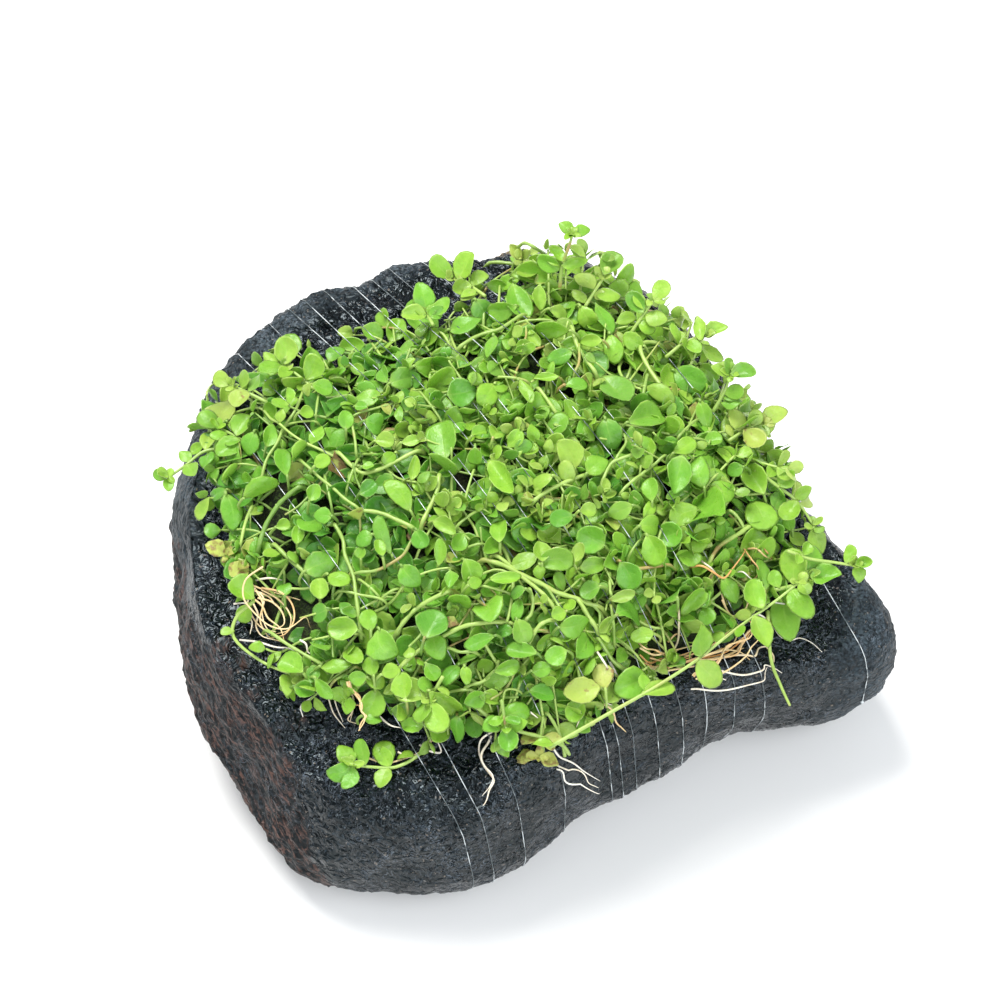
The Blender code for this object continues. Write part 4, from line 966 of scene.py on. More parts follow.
def fine_relief(place, brown, grainy):
    """Fine humps, broken fibres and pits at a place, and how deep in a pit it lies."""
    height = 0.0
    for number, (size, amount) in enumerate(ROCK_GRAIN):
        height += amount * noise.noise(place / size + Vector((17.0 * number, 5.0, 3.0)))
    for number, (size, amount) in enumerate(ROCK_HUMPS):
        hump = abs(noise.noise(place / size + Vector((7.0, 31.0 * number, 2.0))))
        height += amount * (hump * 2.0 - HUMP_FLOOR)
    height *= 1.0 + GRAINY_GAIN * grainy
    if brown > 0.02:
        layered = (place - LAYER_RUN * (LAYER_RUN.dot(place) * LAYER_STRETCH)) / LAYER_THICKNESS
        finer = layered * LAYER_FINENESS + Vector((4.0, 9.0, 1.0))
        height += LAYER_HEIGHTS[0] * brown * noise.noise(layered)
        height += LAYER_HEIGHTS[1] * brown * abs(noise.noise(finer))
    near, points = noise.voronoi(place / PIT_SIZE)
    chance = noise.cell(points[0] * 7.31 + Vector((3.7, 1.3, 8.1)))
    radius = PIT_RADIUS[0] + PIT_RADIUS[1] * max(chance, 0.0) + PIT_RADIUS[1] * grainy
    pit = 0.0
    if chance > PIT_CHANCE - GRAINY_GAIN * grainy and near[0] < radius:
        pit = 1.0 - (near[0] / radius) ** 2
    return height - PIT_DEPTH * (PIT_SHALLOW + GRAINY_GAIN * grainy) * pit, pit


def make_rock(material):
    """The rock, with its grain, pits and broken face."""
    angles = np.arange(ROCK_COLUMNS) * 360.0 / ROCK_COLUMNS
    profiles = np.array([rock_profile(angle) for angle in angles])
    turns = np.radians(angles)[None, :]
    away = profiles[:, :, 0].T
    rings = np.stack([away * np.cos(turns), away * np.sin(turns), profiles[:, :, 1].T], -1)
    rows, columns = rings.shape[:2]
    ids = np.arange(rows * columns).reshape(rows, columns)
    right = np.roll(ids, -1, 1)
    quads = np.stack([ids[:-1], ids[1:], right[1:], right[:-1]], -1).reshape(-1, 4)
    top = rows * columns
    bottom = top + 1
    faces = quads.tolist()
    faces += [(top, int(ids[0, i]), int(right[0, i])) for i in range(columns)]
    faces += [(bottom, int(right[-1, i]), int(ids[-1, i])) for i in range(columns)]
    verts = np.concatenate([rings.reshape(-1, 3), [(0, 0, ROCK_TOP), (0, 0, ROCK_FLOOR)]])
    verts, _ = raised(verts, faces, lambda place, _: (rock_relief(place), 0.0))
    angle = np.degrees(np.arctan2(verts[:, 1], verts[:, 0]))
    brown = brown_part(verts)
    grainy = around(angle, GRAINY_RIM) * smooth(*GRAINY_HEIGHTS, verts[:, 2])
    verts, pits = raised(verts, faces, lambda place, i: fine_relief(place, brown[i], grainy[i]))
    verts[:, 2] = np.maximum(verts[:, 2], ROCK_FLOOR - FLOOR_DIP)
    run, side = winding_axes()
    for (across, along), half_length, half_width in ROCK_FEET:
        flat = verts[:, :2]
        near = np.hypot((flat @ run - along) / half_length, (flat @ side - across) / half_width)
        pull = (1.0 - smooth(1.0, FOOT_SPREAD, near)) * (1.0 - smooth(*FOOT_PULL, verts[:, 2]))
        verts[:, 2] *= 1.0 - pull
    tan = np.exp(-((np.linalg.norm(verts - np.array(TAN_PATCH[0]), axis=1) / TAN_PATCH[1]) ** 2))
    dull = np.maximum(*(around(angle, side) for side in DULL_SIDES))
    dull *= smooth(*DULL_REACH, np.hypot(verts[:, 0], verts[:, 1]))
    stone = np.stack([brown, tan, pits, dull], -1)
    piece = add_mesh("lava_rock_skin", verts, faces, [material], attributes={"stone": stone})
    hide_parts("lava_rock")
    return verts, quads, BVHTree.FromPolygons(verts.tolist(), faces)


def raised(verts, faces, relief):
    """Places moved along their normals by a relief, and the second value that the relief gives."""
    mesh = bpy.data.meshes.new("relief")
    mesh.from_pydata(verts.tolist(), [], faces)
    normals = np.zeros(len(verts) * 3, np.float32)
    mesh.vertices.foreach_get("normal", normals)
    bpy.data.meshes.remove(mesh)
    found = np.array([relief(Vector(place), i) for i, place in enumerate(verts)])
    return verts + normals.reshape(-1, 3) * found[:, :1], found[:, 1]


def winding_axes():
    """Level directions along and across the winding."""
    run = np.array((math.cos(WINDING_HEADING), math.sin(WINDING_HEADING)))
    return run, np.array((-run[1], run[0]))


def wound_turns(verts, quads, ground):
    """Each turn of the line, stretched over the rock and the cushion."""
    edges = np.concatenate([quads[:, [0, 1]], quads[:, [0, 3]]])
    run, side = winding_axes()
    margin = LINE_RADIUS + LINE_SPACE
    steps = np.arange(LINE_SPACE_SIDES) * math.tau / LINE_SPACE_SIDES
    ring = [(margin * math.cos(step), margin * math.sin(step)) for step in steps]
    turns = []
    for back, front in WINDING_TURNS:
        start = side * back - run * WINDING_SPAN
        way = side * front + run * WINDING_SPAN - start
        way /= np.linalg.norm(way)
        off = (verts[:, :2] - start) @ np.array((-way[1], way[0]))
        along = (verts[:, :2] - start) @ way
        a, b = edges[off[edges[:, 0]] * off[edges[:, 1]] < 0].T
        part = off[a] / (off[a] - off[b])
        heights = verts[a, 2] + part * (verts[b, 2] - verts[a, 2])
        points = np.stack([along[a] + part * (along[b] - along[a]), heights], -1).tolist()
        for far in np.arange(0.0, 2.0 * WINDING_SPAN, 1.0):
            x, y = start + way * far
            if ground.part(x, y) < LINE_ON_CUSHION:
                points.append((far, ground.height(x, y) + LINE_SINK))
        spaced = [Vector((x + dx, z + dz)) for x, z in points for dx, dz in ring]
        hull = [spaced[i] for i in geometry.convex_hull_2d(spaced)]
        floor = min(p.y for p in hull) + LINE_END_RISE
        begin = min((i for i, p in enumerate(hull) if p.y <= floor), key=lambda i: hull[i].x)
        turn = hull[begin:] + hull[:begin]
        if turn[1].y < floor:
            turn = [turn[0]] + turn[:0:-1]
        end = max((i for i, p in enumerate(turn) if p.y <= floor), key=lambda i: turn[i].x)
        turns.append([Vector((*(start + way * p.x), p.y)) for p in turn[: end + 1]])
    return turns


def knotted_end(route):
    """Route whose first stretch is split into short steps, where the line swells to a small knot."""
    way = (route[1] - route[0]).normalized()
    return [route[0] + way * (KNOT_LENGTH * part) for part in (0.0, 0.33, 0.67, 1.0)] + route[1:]


def make_line(verts, quads, ground, material):
    """The nylon line, wound round the rock and the cushion and knotted at both ends."""
    turns = wound_turns(verts, quads, ground)
    first, last = turns[0], turns[-1]
    turns[0] = [point for i, point in enumerate(first) if point.z > KNOT_HEIGHT or i > len(first) / 2]
    turns[-1] = [point for i, point in enumerate(last) if point.z > KNOT_HEIGHT or i < len(last) / 2]
    route = [point for turn in turns for point in turn]
    kept = [route[0]]
    for point in route[1:]:
        if (point - kept[-1]).length > LINE_STEP:
            kept.append(point)
    route = knotted_end(knotted_end(kept)[::-1])
    radii = [LINE_RADIUS, KNOT_RADIUS, KNOT_RADIUS] + [LINE_RADIUS] * (len(route) - 6)
    radii += [KNOT_RADIUS, KNOT_RADIUS, LINE_RADIUS]
    print("line length in mm:", round(sum((b - a).length for a, b in zip(route, route[1:]))))
    growth = Growth(np.random.default_rng(SEED))
    growth.tube(route, radii, [0.5] * len(route), 0.0, sides=6, slot=0)
    growth.build("nylon_line_wound", [material], "nylon_line", slot="nylon")


# Cushion


def stone_height(rock_tree, x, y):
    """Height of the rock at a place, found by a ray from above."""
    hit = rock_tree.ray_cast(Vector((x, y, RAY_HEIGHTS[0])), Vector((0, 0, -1)))[0]
    return hit.z if hit is not None else RAY_HEIGHTS[1]


class Ground:
    """Heights of the rock's top and of the cushion over it, on a level grid."""

    def __init__(self, rock_tree):
        self.reach = [float(spread(MAT_OUTLINE, angle)[0]) for angle in range(360)]
        self.steps = (np.arange(2 * GRID_HALF + 1) - GRID_HALF) * GRID_STEP
        self.rock = np.array([[stone_height(rock_tree, x, y) for y in self.steps] for x in self.steps])
        bed = self.rock.copy()
        for dx in (-BED_CELLS, 0, BED_CELLS):
            for dy in (-BED_CELLS, 0, BED_CELLS):
                bed = np.maximum(bed, np.roll(np.roll(self.rock, dx, 0), dy, 1))
        self.top = self.cushion_heights(bed + MAT_BED)
        self.surfaces = (rock_tree, self.cushion_tree())
        self.eye = Vector(CAMERA_PLACE) / MM - Vector(FRAME_SHIFT)
        back = (Vector(CAMERA_PLACE) - Vector(CAMERA_AIM)).normalized()
        self.view = (Vector((1, 0, 0)), back.cross(Vector((1, 0, 0))), back)

    def cushion_heights(self, bed):
        """Heights of the cushion over its bed, and of its flank down to the rock."""
        top = np.zeros(bed.shape)
        for i, x in enumerate(self.steps):
            for j, y in enumerate(self.steps):
                part = self.part(x, y)
                top[i, j] = bed[i, j] + self.thickness(x, y, min(part, 1.0))
                if part > 1.0:
                    foot = self.rock[i, j] + MAT_FOOT
                    top[i, j] += (foot - top[i, j]) * float(smooth(1.0, MAT_FLANK_END, part))
        return top

    def cushion_tree(self):
        """The cushion's top as a surface that a ray can hit."""
        steps, count = self.steps, len(self.steps)
        verts = [(x, y, self.top[i, j]) for i, x in enumerate(steps) for j, y in enumerate(steps)]
        faces = [
            (i * count + j, (i + 1) * count + j, (i + 1) * count + j + 1, i * count + j + 1)
            for i in range(count - 1) for j in range(count - 1)
            if self.part(steps[i] + GRID_STEP / 2, steps[j] + GRID_STEP / 2) < MAT_SURFACE_END
        ]
        return BVHTree.FromPolygons(verts, faces)

    def seen(self, u, v, lift=0.0):
        """Place on the cushion or the rock that a pixel shows, raised along the line of sight."""
        right, up, back = self.view
        ray = (right * (u - PICTURE_MIDDLE) + up * (PICTURE_MIDDLE - v)) / PIXELS - back
        hits = [tree.ray_cast(self.eye, ray)[3] for tree in self.surfaces]
        hits = [distance for distance in hits if distance is not None]
        ray.normalize()
        far = min(hits) if hits else (EDGE_HEIGHT - self.eye.z) / ray.z
        return self.eye + ray * (far - lift / back.z)

    def pixel(self, places):
        """Pixels and depths of places."""
        right, up, back = (np.array(way) for way in self.view)
        away = np.asarray(places, float) - np.array(self.eye)
        depth = -(away @ back)
        u = PICTURE_MIDDLE + PIXELS * (away @ right) / depth
        v = PICTURE_MIDDLE - PIXELS * (away @ up) / depth
        return u, v, depth

    def outline(self, angle):
        """How far out the cushion reaches at an angle."""
        return self.reach[int(math.degrees(angle)) % 360]

    def part(self, x, y):
        """How far out a place lies, as a part of the outline's distance."""
        return math.hypot(x, y) / self.outline(math.atan2(y, x))

    def thickness(self, x, y, part):
        """Thickness of the cushion."""
        height = MAT_EDGE + (MAT_HEIGHT - MAT_EDGE) * (1.0 - part**MAT_SQUARE)
        for size, amount in MAT_LUMPS:
            height += amount * noise.noise(Vector((x, y, 40.0)) / size) * (1.0 - MAT_LUMP_FADE * part)
        return height

    def look(self, grid, x, y):
        """Height read from a grid at a place."""
        u = min(max(x / GRID_STEP + GRID_HALF, 0.0), 2 * GRID_HALF - 0.001)
        v = min(max(y / GRID_STEP + GRID_HALF, 0.0), 2 * GRID_HALF - 0.001)
        i, j = int(u), int(v)
        u, v = u - i, v - j
        near = grid[i, j] * (1 - v) + grid[i, j + 1] * v
        far = grid[i + 1, j] * (1 - v) + grid[i + 1, j + 1] * v
        return float(near * (1 - u) + far * u)

    def height(self, x, y):
        """Height of the cushion's top."""
        return self.look(self.top, x, y)

    def stone(self, x, y):
        """Height of the rock's top."""
        return self.look(self.rock, x, y)

    def normal(self, x, y):
        """Upward normal of the cushion's top."""
        dx = self.height(x + GRID_STEP, y) - self.height(x - GRID_STEP, y)
        dy = self.height(x, y + GRID_STEP) - self.height(x, y - GRID_STEP)
        return Vector((-dx / (2 * GRID_STEP), -dy / (2 * GRID_STEP), 1.0)).normalized()


# Leaves


def blade_template():
    """Round blade: distance from the middle, turn and side of each point, and its triangles and quads."""
    turns = [math.tau * k / BLADE_SIDES for k in range(BLADE_SIDES)]
    points = [(1.0, turn, 0.0) for turn in turns]
    faces = []
    for side in (1.0, -1.0):
        start = len(points)
        points.append((0.0, 0.0, side))
        for ring in BLADE_RINGS:
            points += [(ring, turn, side) for turn in turns]
        firsts = [start + 1 + n * BLADE_SIDES for n in range(len(BLADE_RINGS))] + [0]
        rings = [[first + k for k in range(BLADE_SIDES)] for first in firsts]
        for k in range(BLADE_SIDES):
            j = (k + 1) % BLADE_SIDES
            fan = (start, rings[0][k], rings[0][j])
            faces.append(fan if side > 0 else fan[::-1])
            for inner, outer in zip(rings, rings[1:]):
                quad = (inner[k], outer[k], outer[j], inner[j])
                faces.append(quad if side > 0 else quad[::-1])
    return np.array(points), faces


BLADE_POINTS, BLADE_FACES = blade_template()


class Growth:
    """Leaves and stems that are joined into one mesh."""

    def __init__(self, rng):
        self.rng = rng
        self.leaves = []
        self.tubes = []

    def leaf(self, root, axis, normal, length, tone, age, width=None, cup=None, fold=None, bend=None):
        """One leaf: where it grows, the way it points, the way it faces, its size, colour and form."""
        rng = self.rng
        axis = axis.normalized()
        normal = (normal - axis * normal.dot(axis)).normalized()
        if width is None:
            width = rng.uniform(*LEAF_WIDTH)
        if cup is None:
            cup = rng.normal(*LEAF_CUP)
        if fold is None:
            fold = max(rng.normal(*LEAF_FOLD), -0.1)
        if bend is None:
            bend = rng.normal(*LEAF_BEND)
        fullness = rng.uniform(*LEAF_FULLNESS)
        twist = rng.normal(*LEAF_TWIST)
        wave = rng.uniform(*LEAF_WAVE)
        phase = rng.uniform(0, math.tau)
        chance = rng.uniform(0.0, 1.0)
        pointed = rng.uniform(*LEAF_POINT)
        sway = rng.normal(*LEAF_SWAY)
        self.leaves.append((
            *root, *axis, *normal, length, width, cup, fold, bend, fullness, twist, wave, phase,
            max(tone, 0.0), age, chance, pointed, sway,
        ))

    def tube(self, points, radii, tones, age=0.0, sides=6, slot=1):
        """One round stem or root along a route."""
        self.tubes.append((points, radii, tones, age, sides, slot))

    def blades(self):
        """Places, faces, colours and blade coordinates of all the leaves."""
        data = np.array(self.leaves)
        radius, turn, side = BLADE_POINTS.T
        root, axis, normal = data[:, 0:3], data[:, 3:6], data[:, 6:9]
        across = np.cross(normal, axis)
        length, width, cup, fold, bend, fullness, twist = (data[:, k, None] for k in range(9, 16))
        wave, phase, tone, age, chance, pointed, sway = (data[:, k, None] for k in range(16, 23))
        along = 0.5 + 0.5 * radius * np.cos(turn)
        off = radius * np.sin(turn)
        # Outline: fuller towards the foot or the tip, narrow at the neck, pointed, ragged where it is old
        shape = 1.0 + fullness * (1.0 - 2.0 * along)
        neck = 0.45 + 0.55 * smooth(0.0, 0.3, along)
        point = 1.0 - np.maximum(pointed, 0.0) * along**4
        torn = smooth(0.3, 0.7, age)
        ragged = 0.2 + 0.14 * np.sin(4.0 * turn + phase) + 0.12 * np.sin(7.0 * turn + 2.3 * phase)
        rim = 1.0 - torn * ragged * radius**2
        y = off * 0.5 * length * width * shape * neck * point * rim + sway * length * along * (1.0 - along)
        x = (0.5 + (along - 0.5) * rim) * length
        # Height: cupped and waved, folded along the rib, thick in the middle, and twisted
        z = length * (0.35 * cup * radius**2 + 0.5 * wave * radius**2 * np.sin(3.0 * turn + phase))
        z = z + fold * (np.sqrt(y**2 + 0.02) - 0.14)
        z = z + side * BLADE_THICKNESS * (1.0 - radius**4) * (length / LEAF_LENGTH) ** 0.5
        tilt = twist * (along - 0.2)
        y, z = y * np.cos(tilt) - z * np.sin(tilt), y * np.sin(tilt) + z * np.cos(tilt)
        # Bend: the blade is rolled onto an arc
        bend = np.where(np.abs(bend) < 0.02, 0.02, bend)
        turned = bend * x / length
        reach = length / bend * np.sin(turned) + z * np.sin(turned)
        lift = -length / bend * (1.0 - np.cos(turned)) + z * np.cos(turned)
        places = (
            root[:, None]
            + axis[:, None] * reach[..., None]
            + across[:, None] * y[..., None]
            + normal[:, None] * lift[..., None]
        )
        count, size = len(data), len(BLADE_POINTS)
        faces = []
        for n in range(count):
            start = n * size
            faces += [tuple(start + k for k in face) for face in BLADE_FACES]
        colours = np.zeros((count, size, 4))
        for channel, values in enumerate((tone, age, chance, np.where(side < 0, 0.0, 1.0))):
            colours[:, :, channel] = values
        uv = np.tile(np.stack([along, 0.5 + 0.5 * off], -1), (count, 1))
        return places.reshape(-1, 3), faces, colours.reshape(-1, 4), uv

    def build(self, name, materials, *nodes, slot="pearl_grass"):
        """Join the leaves and stems into one piece, which stands for the CAD nodes that are named."""
        verts, faces, colours, uvs, slots = [], [], [], [], []
        start = 0
        if self.leaves:
            places, blades, tints, uv = self.blades()
            verts.append(places)
            faces += blades
            colours.append(tints)
            uvs.append(uv)
            slots += [0] * len(blades)
            start = len(places)
        for points, radii, tones, age, sides, material in self.tubes:
            places, rings, tints = tube_mesh(points, radii, tones, age, sides, float(self.rng.uniform()))
            verts.append(places)
            faces += [tuple(start + k for k in face) for face in rings]
            colours.append(tints)
            uvs.append(np.full((len(places), 2), 0.5))
            slots += [material] * len(rings)
            start += len(places)
        piece = add_mesh(
            name, np.concatenate(verts), faces, materials, slots,
            {"tone": np.concatenate(colours)}, np.concatenate(uvs),
        )
        if nodes:
            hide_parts(*nodes)
        return piece


def tube_mesh(points, radii, tones, age, sides, chance):
    """Closed round tube along a route, its ends drawn to a point."""
    route = np.array([tuple(p) for p in points], float)
    count = len(route)
    way = np.gradient(route, axis=0)
    way /= np.linalg.norm(way, axis=1)[:, None]
    side = np.cross(way[0], (0.0, 0.0, 1.0))
    if np.linalg.norm(side) < 0.1:
        side = np.cross(way[0], (1.0, 0.0, 0.0))
    rings = []
    for k in range(count):
        side = side - way[k] * side.dot(way[k])
        side /= np.linalg.norm(side)
        up = np.cross(way[k], side)
        for n in range(sides):
            turn = math.tau * n / sides
            rings.append(route[k] + radii[k] * (math.cos(turn) * side + math.sin(turn) * up))
    verts = np.array(rings + [route[0] - way[0] * radii[0] * 0.5, route[-1] + way[-1] * radii[-1] * 0.5])
    head, tail = count * sides, count * sides + 1
    faces = []
    for n in range(sides):
        m = (n + 1) % sides
        faces.append((head, m, n))
        faces.append((tail, (count - 1) * sides + n, (count - 1) * sides + m))
        for near in range(0, (count - 1) * sides, sides):
            far = near + sides
            faces.append((near + n, near + m, far + m, far + n))
    tints = np.zeros((len(verts), 4))
    tints[:, 0] = np.concatenate([np.repeat(np.asarray(tones, float), sides), [tones[0], tones[-1]]])
    tints[:, 1] = age
    tints[:, 2] = chance
    tints[:, 3] = 1.0
    return verts, faces, tints


def eased(points, steps):
    """Smooth route through points, with a number of steps between each two."""
    pts = np.array([tuple(p) for p in points], float)
    if len(pts) == 2:
        return [pts[0] + (pts[1] - pts[0]) * k / steps for k in range(steps + 1)]
    ends = np.concatenate([[2 * pts[0] - pts[1]], pts, [2 * pts[-1] - pts[-2]]])
    route = []
    for i in range(1, len(ends) - 2):
        a, b, c, d = ends[i - 1 : i + 3]
        for k in range(steps):
            t = k / steps
            square = 2 * a - 5 * b + 4 * c - d
            cubic = 3 * b - a - 3 * c + d
            route.append(0.5 * (2 * b + (c - a) * t + square * t**2 + cubic * t**3))
    route.append(pts[-1])
    return route


def sprig_route(rng, ground, start, heading, reach, low, high):
    """Route of one stem that creeps from the depth of the cushion to its top."""
    count = max(int(reach / SPRIG_STEP), 6)
    turn = rng.normal(0.0, SPRIG_CURL)
    x, y = start
    limit = SPRIG_LIMIT + SPRIG_LIMIT_WAVE * noise.noise(Vector((x, y, 70.0)) / SPRIG_WAVE_SIZE)
    route = []
    for k in range(count + 1):
        part = k / count
        rise = SPRIG_RISE * max(part - (1.0 - SPRIG_RISE_PART), 0.0) / SPRIG_RISE_PART
        lift = low + (high - low) * part**SPRIG_CLIMB + rise * rng.uniform(*SPRIG_RISE_RANGE)
        route.append(Vector((x, y, ground.height(x, y) + lift)))
        place = ground.part(x, y)
        if place > limit - SPRIG_NEAR:
            off = (heading - math.atan2(y, x) + math.pi) % math.tau - math.pi
            if abs(off) < SPRIG_OUTWARD:
                past = (place - limit + SPRIG_NEAR) / SPRIG_TURN_PART
                heading += math.copysign(SPRIG_TURN, off) * min(past, SPRIG_TURN_MOST)
        heading += turn + rng.normal(0.0, SPRIG_WANDER)
        x += math.cos(heading) * SPRIG_STEP
        y += math.sin(heading) * SPRIG_STEP
    return [Vector(p) for p in smoothed(route)]


def dress(growth, ground, route, size, tone, age, gaps, radius):
    """Grow a stem along a route and its pairs of leaves, small and close at the tip."""
    rng = growth.rng
    count = len(route) - 1
    step = sum((b - a).length for a, b in zip(route, route[1:])) / count
    radii = [radius * size * (1.0 - STEM_TAPER * k / count) for k in range(count + 1)]
    paler = rng.uniform(*STEM_PALER)
    tones = [min(tone + paler + STEM_TIP_PALER * k / count, 1.0) for k in range(count + 1)]
    growth.tube(route, radii, tones, age * STEM_AGE)
    far = float(count)
    at = rng.uniform(*FIRST_PAIR) / step
    number = 0
    while at < far + 0.01:
        i = min(int(at), count - 1)
        root = route[i].lerp(route[i + 1], min(at - i, 1.0))
        way = (route[min(i + 1, count)] - route[max(i - 1, 0)]).normalized()
        tip = max(at / far - TIP_START, 0.0) / (1.0 - TIP_START)
        leaf_pair(growth, root, way, ground.normal(root.x, root.y), number, tip, size, tone, age)
        number += 1
        gap = (rng.uniform(*gaps) * (1.0 - tip) + TIP_GAP * tip) * size / step
        if at < far and at + gap > far:
            gap = max(far - at, LAST_GAP / step)
        at += max(gap, LEAST_GAP / step)


def leaf_pair(growth, root, way, up, number, tip, size, tone, age):
    """Two opposite leaves at a joint of a stem, where the next pair is turned and either may be missing."""
    rng = growth.rng
    lateral = up.cross(way).normalized()
    top = way.cross(lateral)
    between, at_tip, scatter = PAIR_TURN
    roll = (math.pi / 2 * (number % 2)) * (between + at_tip * tip) + rng.normal(0.0, scatter)
    upwards, along, more_along, facing_scatter = LEAF_FACING
    for flip in (1.0, -1.0):
        if rng.uniform() < MISSING_SHARE:
            continue
        away = math.radians(rng.normal(LEAF_ANGLE[0] - LEAF_ANGLE[1] * tip, LEAF_ANGLE[2]))
        across = (lateral * math.cos(roll) + top * math.sin(roll)) * flip
        if across.z < LEAF_DOWN:
            across.z *= LEAF_DOWN_LEFT
        axis = way * math.cos(away) + across.normalized() * math.sin(away)
        axis += up * (LEAF_RISE[0] + rng.normal(0.0, LEAF_RISE[1]))
        facing = up * upwards + way * (along + more_along * tip)
        facing += Vector(rng.normal(0.0, facing_scatter, 3))
        length = LEAF_LENGTH * size * rng.uniform(*LEAF_SIZES) * (1.0 - TIP_SHRINK * tip)
        leaf_age = age
        if age < FRESH_AGE and rng.uniform() < WILTING_SHARE:
            leaf_age = rng.uniform(*WILTING_AGES)
        leaf_tone = min(tone + TIP_TONE * tip + rng.normal(0.0, LEAF_TONE_SCATTER), 1.0)
        growth.leaf(root, axis, facing, length, leaf_tone, leaf_age)


def smoothed(route):
    """Route with its kinks eased."""
    pts = np.array([tuple(p) for p in route])
    for _ in range(2):
        pts[1:-1] = 0.25 * pts[:-2] + 0.5 * pts[1:-1] + 0.25 * pts[2:]
    return pts


def region_tone(x, y):
    """Greenness of the cushion at a place: deeper at the left, yellower at the right and the back."""
    base = REGION_TONE + REGION_RIGHT * float(smooth(*REGION_RIGHT_SPAN, x))
    base += REGION_BACK * float(smooth(*REGION_BACK_SPAN, y))
    return base + REGION_PATCHES * noise.noise(Vector((x, y, 3.0)) / REGION_PATCH_SIZE)


def seen_leaves(growth, ground):
    """The leaves that stand out, on the cushion where the camera sees them."""
    rng = growth.rng
    right, up, back = ground.view
    upwards, to_camera, scatter = SEEN_FACING
    for u, v, size, way, width, tone, *old in SEEN_LEAVES:
        middle = ground.seen(u, v, rng.uniform(*SEEN_LEAF_LIFT))
        scale = (ground.eye - middle).dot(back) / PIXELS
        turn = math.radians(way)
        flat = right * math.cos(turn) + up * math.sin(turn)
        facing = Vector((0, 0, 1)) * upwards + back * to_camera + Vector(rng.normal(0.0, scatter, 3))
        facing.normalize()
        axis = flat - back * (flat.dot(facing) / back.dot(facing))
        length = axis.length * size * scale * SEEN_SIZE
        axis.normalize()
        root = middle - axis * length * 0.5
        leaf_tone = max(SEEN_TONE * tone + rng.normal(0.0, SEEN_TONE_SCATTER), 0.0)
        growth.leaf(
            root, axis, facing, length, leaf_tone, sum(old), width=width,
            cup=rng.uniform(*SEEN_CUP), fold=rng.uniform(*SEEN_FOLD), bend=rng.uniform(*SEEN_BEND),
        )
        foot = root - axis * rng.uniform(*SEEN_STALK_BACK) - Vector((0, 0, rng.uniform(*SEEN_STALK_DOWN)))
        half = (root + foot) / 2 - axis * 0.5
        stalk = eased([foot, half, root, root + axis * 0.06 * length], 3)
        growth.tube(stalk, [STALK_RADIUS] * len(stalk), [tone] * len(stalk), 0.0)


def seen_stems(growth, ground):
    """The stems that lie on top, with both their ends dipping into the cushion."""
    rng = growth.rng
    for radius, tone, *pixels in SEEN_STEMS:
        points = [ground.seen(u, v, rng.uniform(*SEEN_STEM_LIFT)) for u, v in pixels]
        first = points[0] - (points[1] - points[0]).normalized() * SEEN_STEM_END - SEEN_STEM_DIP
        last = points[-1] + (points[-1] - points[-2]).normalized() * SEEN_STEM_END - SEEN_STEM_DIP
        route = eased([first, *points, last], 5)
        radii = [SEEN_STEM_SIZE * radius * (1.0 + 0.1 * math.sin(k * 1.7)) for k in range(len(route))]
        growth.tube(route, radii, [tone] * len(route), 0.0, sides=8)


def clear_view(growths, ground):
    """Take out the leaves of the other sprigs that would hide what stands out."""
    spots = [(u, v, CLEAR_LEAF * size) for u, v, size, *_ in SEEN_LEAVES]
    for radius, _, *pixels in SEEN_STEMS:
        for (u0, v0), (u1, v1) in zip(pixels, pixels[1:]):
            for part in (0.0, 0.33, 0.67):
                spots.append((u0 + (u1 - u0) * part, v0 + (v1 - v0) * part, CLEAR_STEM))
    open_from = len(spots)
    spots += [(u, v, radius) for u, v, radius in SEEN_HOLLOWS]
    spots = np.array(spots)
    for growth in growths:
        data = np.array([leaf[:10] for leaf in growth.leaves])
        middle = data[:, 0:3] + data[:, 3:6] * data[:, 9:10] * 0.5
        u, v, depth = ground.pixel(middle)
        reach = HIDING_REACH * data[:, 9] * PIXELS / depth
        away = np.hypot(u[:, None] - spots[None, :, 0], v[:, None] - spots[None, :, 1])
        near = away < spots[None, :, 2] + reach[:, None]
        high = np.array([m[2] - ground.height(m[0], m[1]) for m in middle])
        hides = (near.any(1) & (high > CLEAR_ABOVE)) | (near[:, open_from:].any(1) & (high > HOLLOW_ABOVE))
        growth.leaves = [leaf for leaf, hiding in zip(growth.leaves, hides) if not hiding]


def edge_sprigs(growths, ground):
    """Sprigs that reach out over the cushion's edge."""
    for number, (u, v) in enumerate(SEEN_EDGE):
        growth = growths[number % SPRIG_PARTS]
        rng = growth.rng
        end = ground.seen(u, v, rng.uniform(*EDGE_LIFT))
        inward = math.atan2(-end.y, -end.x) + rng.normal(0.0, EDGE_FAN)
        length = rng.uniform(*EDGE_LENGTHS)
        x, y = end.x + math.cos(inward) * length, end.y + math.sin(inward) * length
        start = Vector((x, y, ground.height(x, y) - EDGE_DEPTH))
        middle = (start + end) / 2
        arch = ground.height(middle.x, middle.y) + EDGE_ARCH[0]
        middle.z = max(middle.z, arch) + rng.uniform(0.0, EDGE_ARCH[1])
        route = [Vector(p) for p in eased([start, middle, end], 8)]
        tone = region_tone(end.x, end.y) + EDGE_TONE
        dress(growth, ground, route, rng.uniform(*EDGE_SIZES), tone, 0.0, EDGE_GAPS, STEM_RADIUS)


def sown(ground, number, count, far, start=0.0):
    """One of a count of evenly sown places: its angle, its part of the outline, and its distance."""
    part = far * math.sqrt((number + 0.5) / count)
    angle = number * SOWING_ANGLE + start
    return angle, part, ground.outline(angle) * part


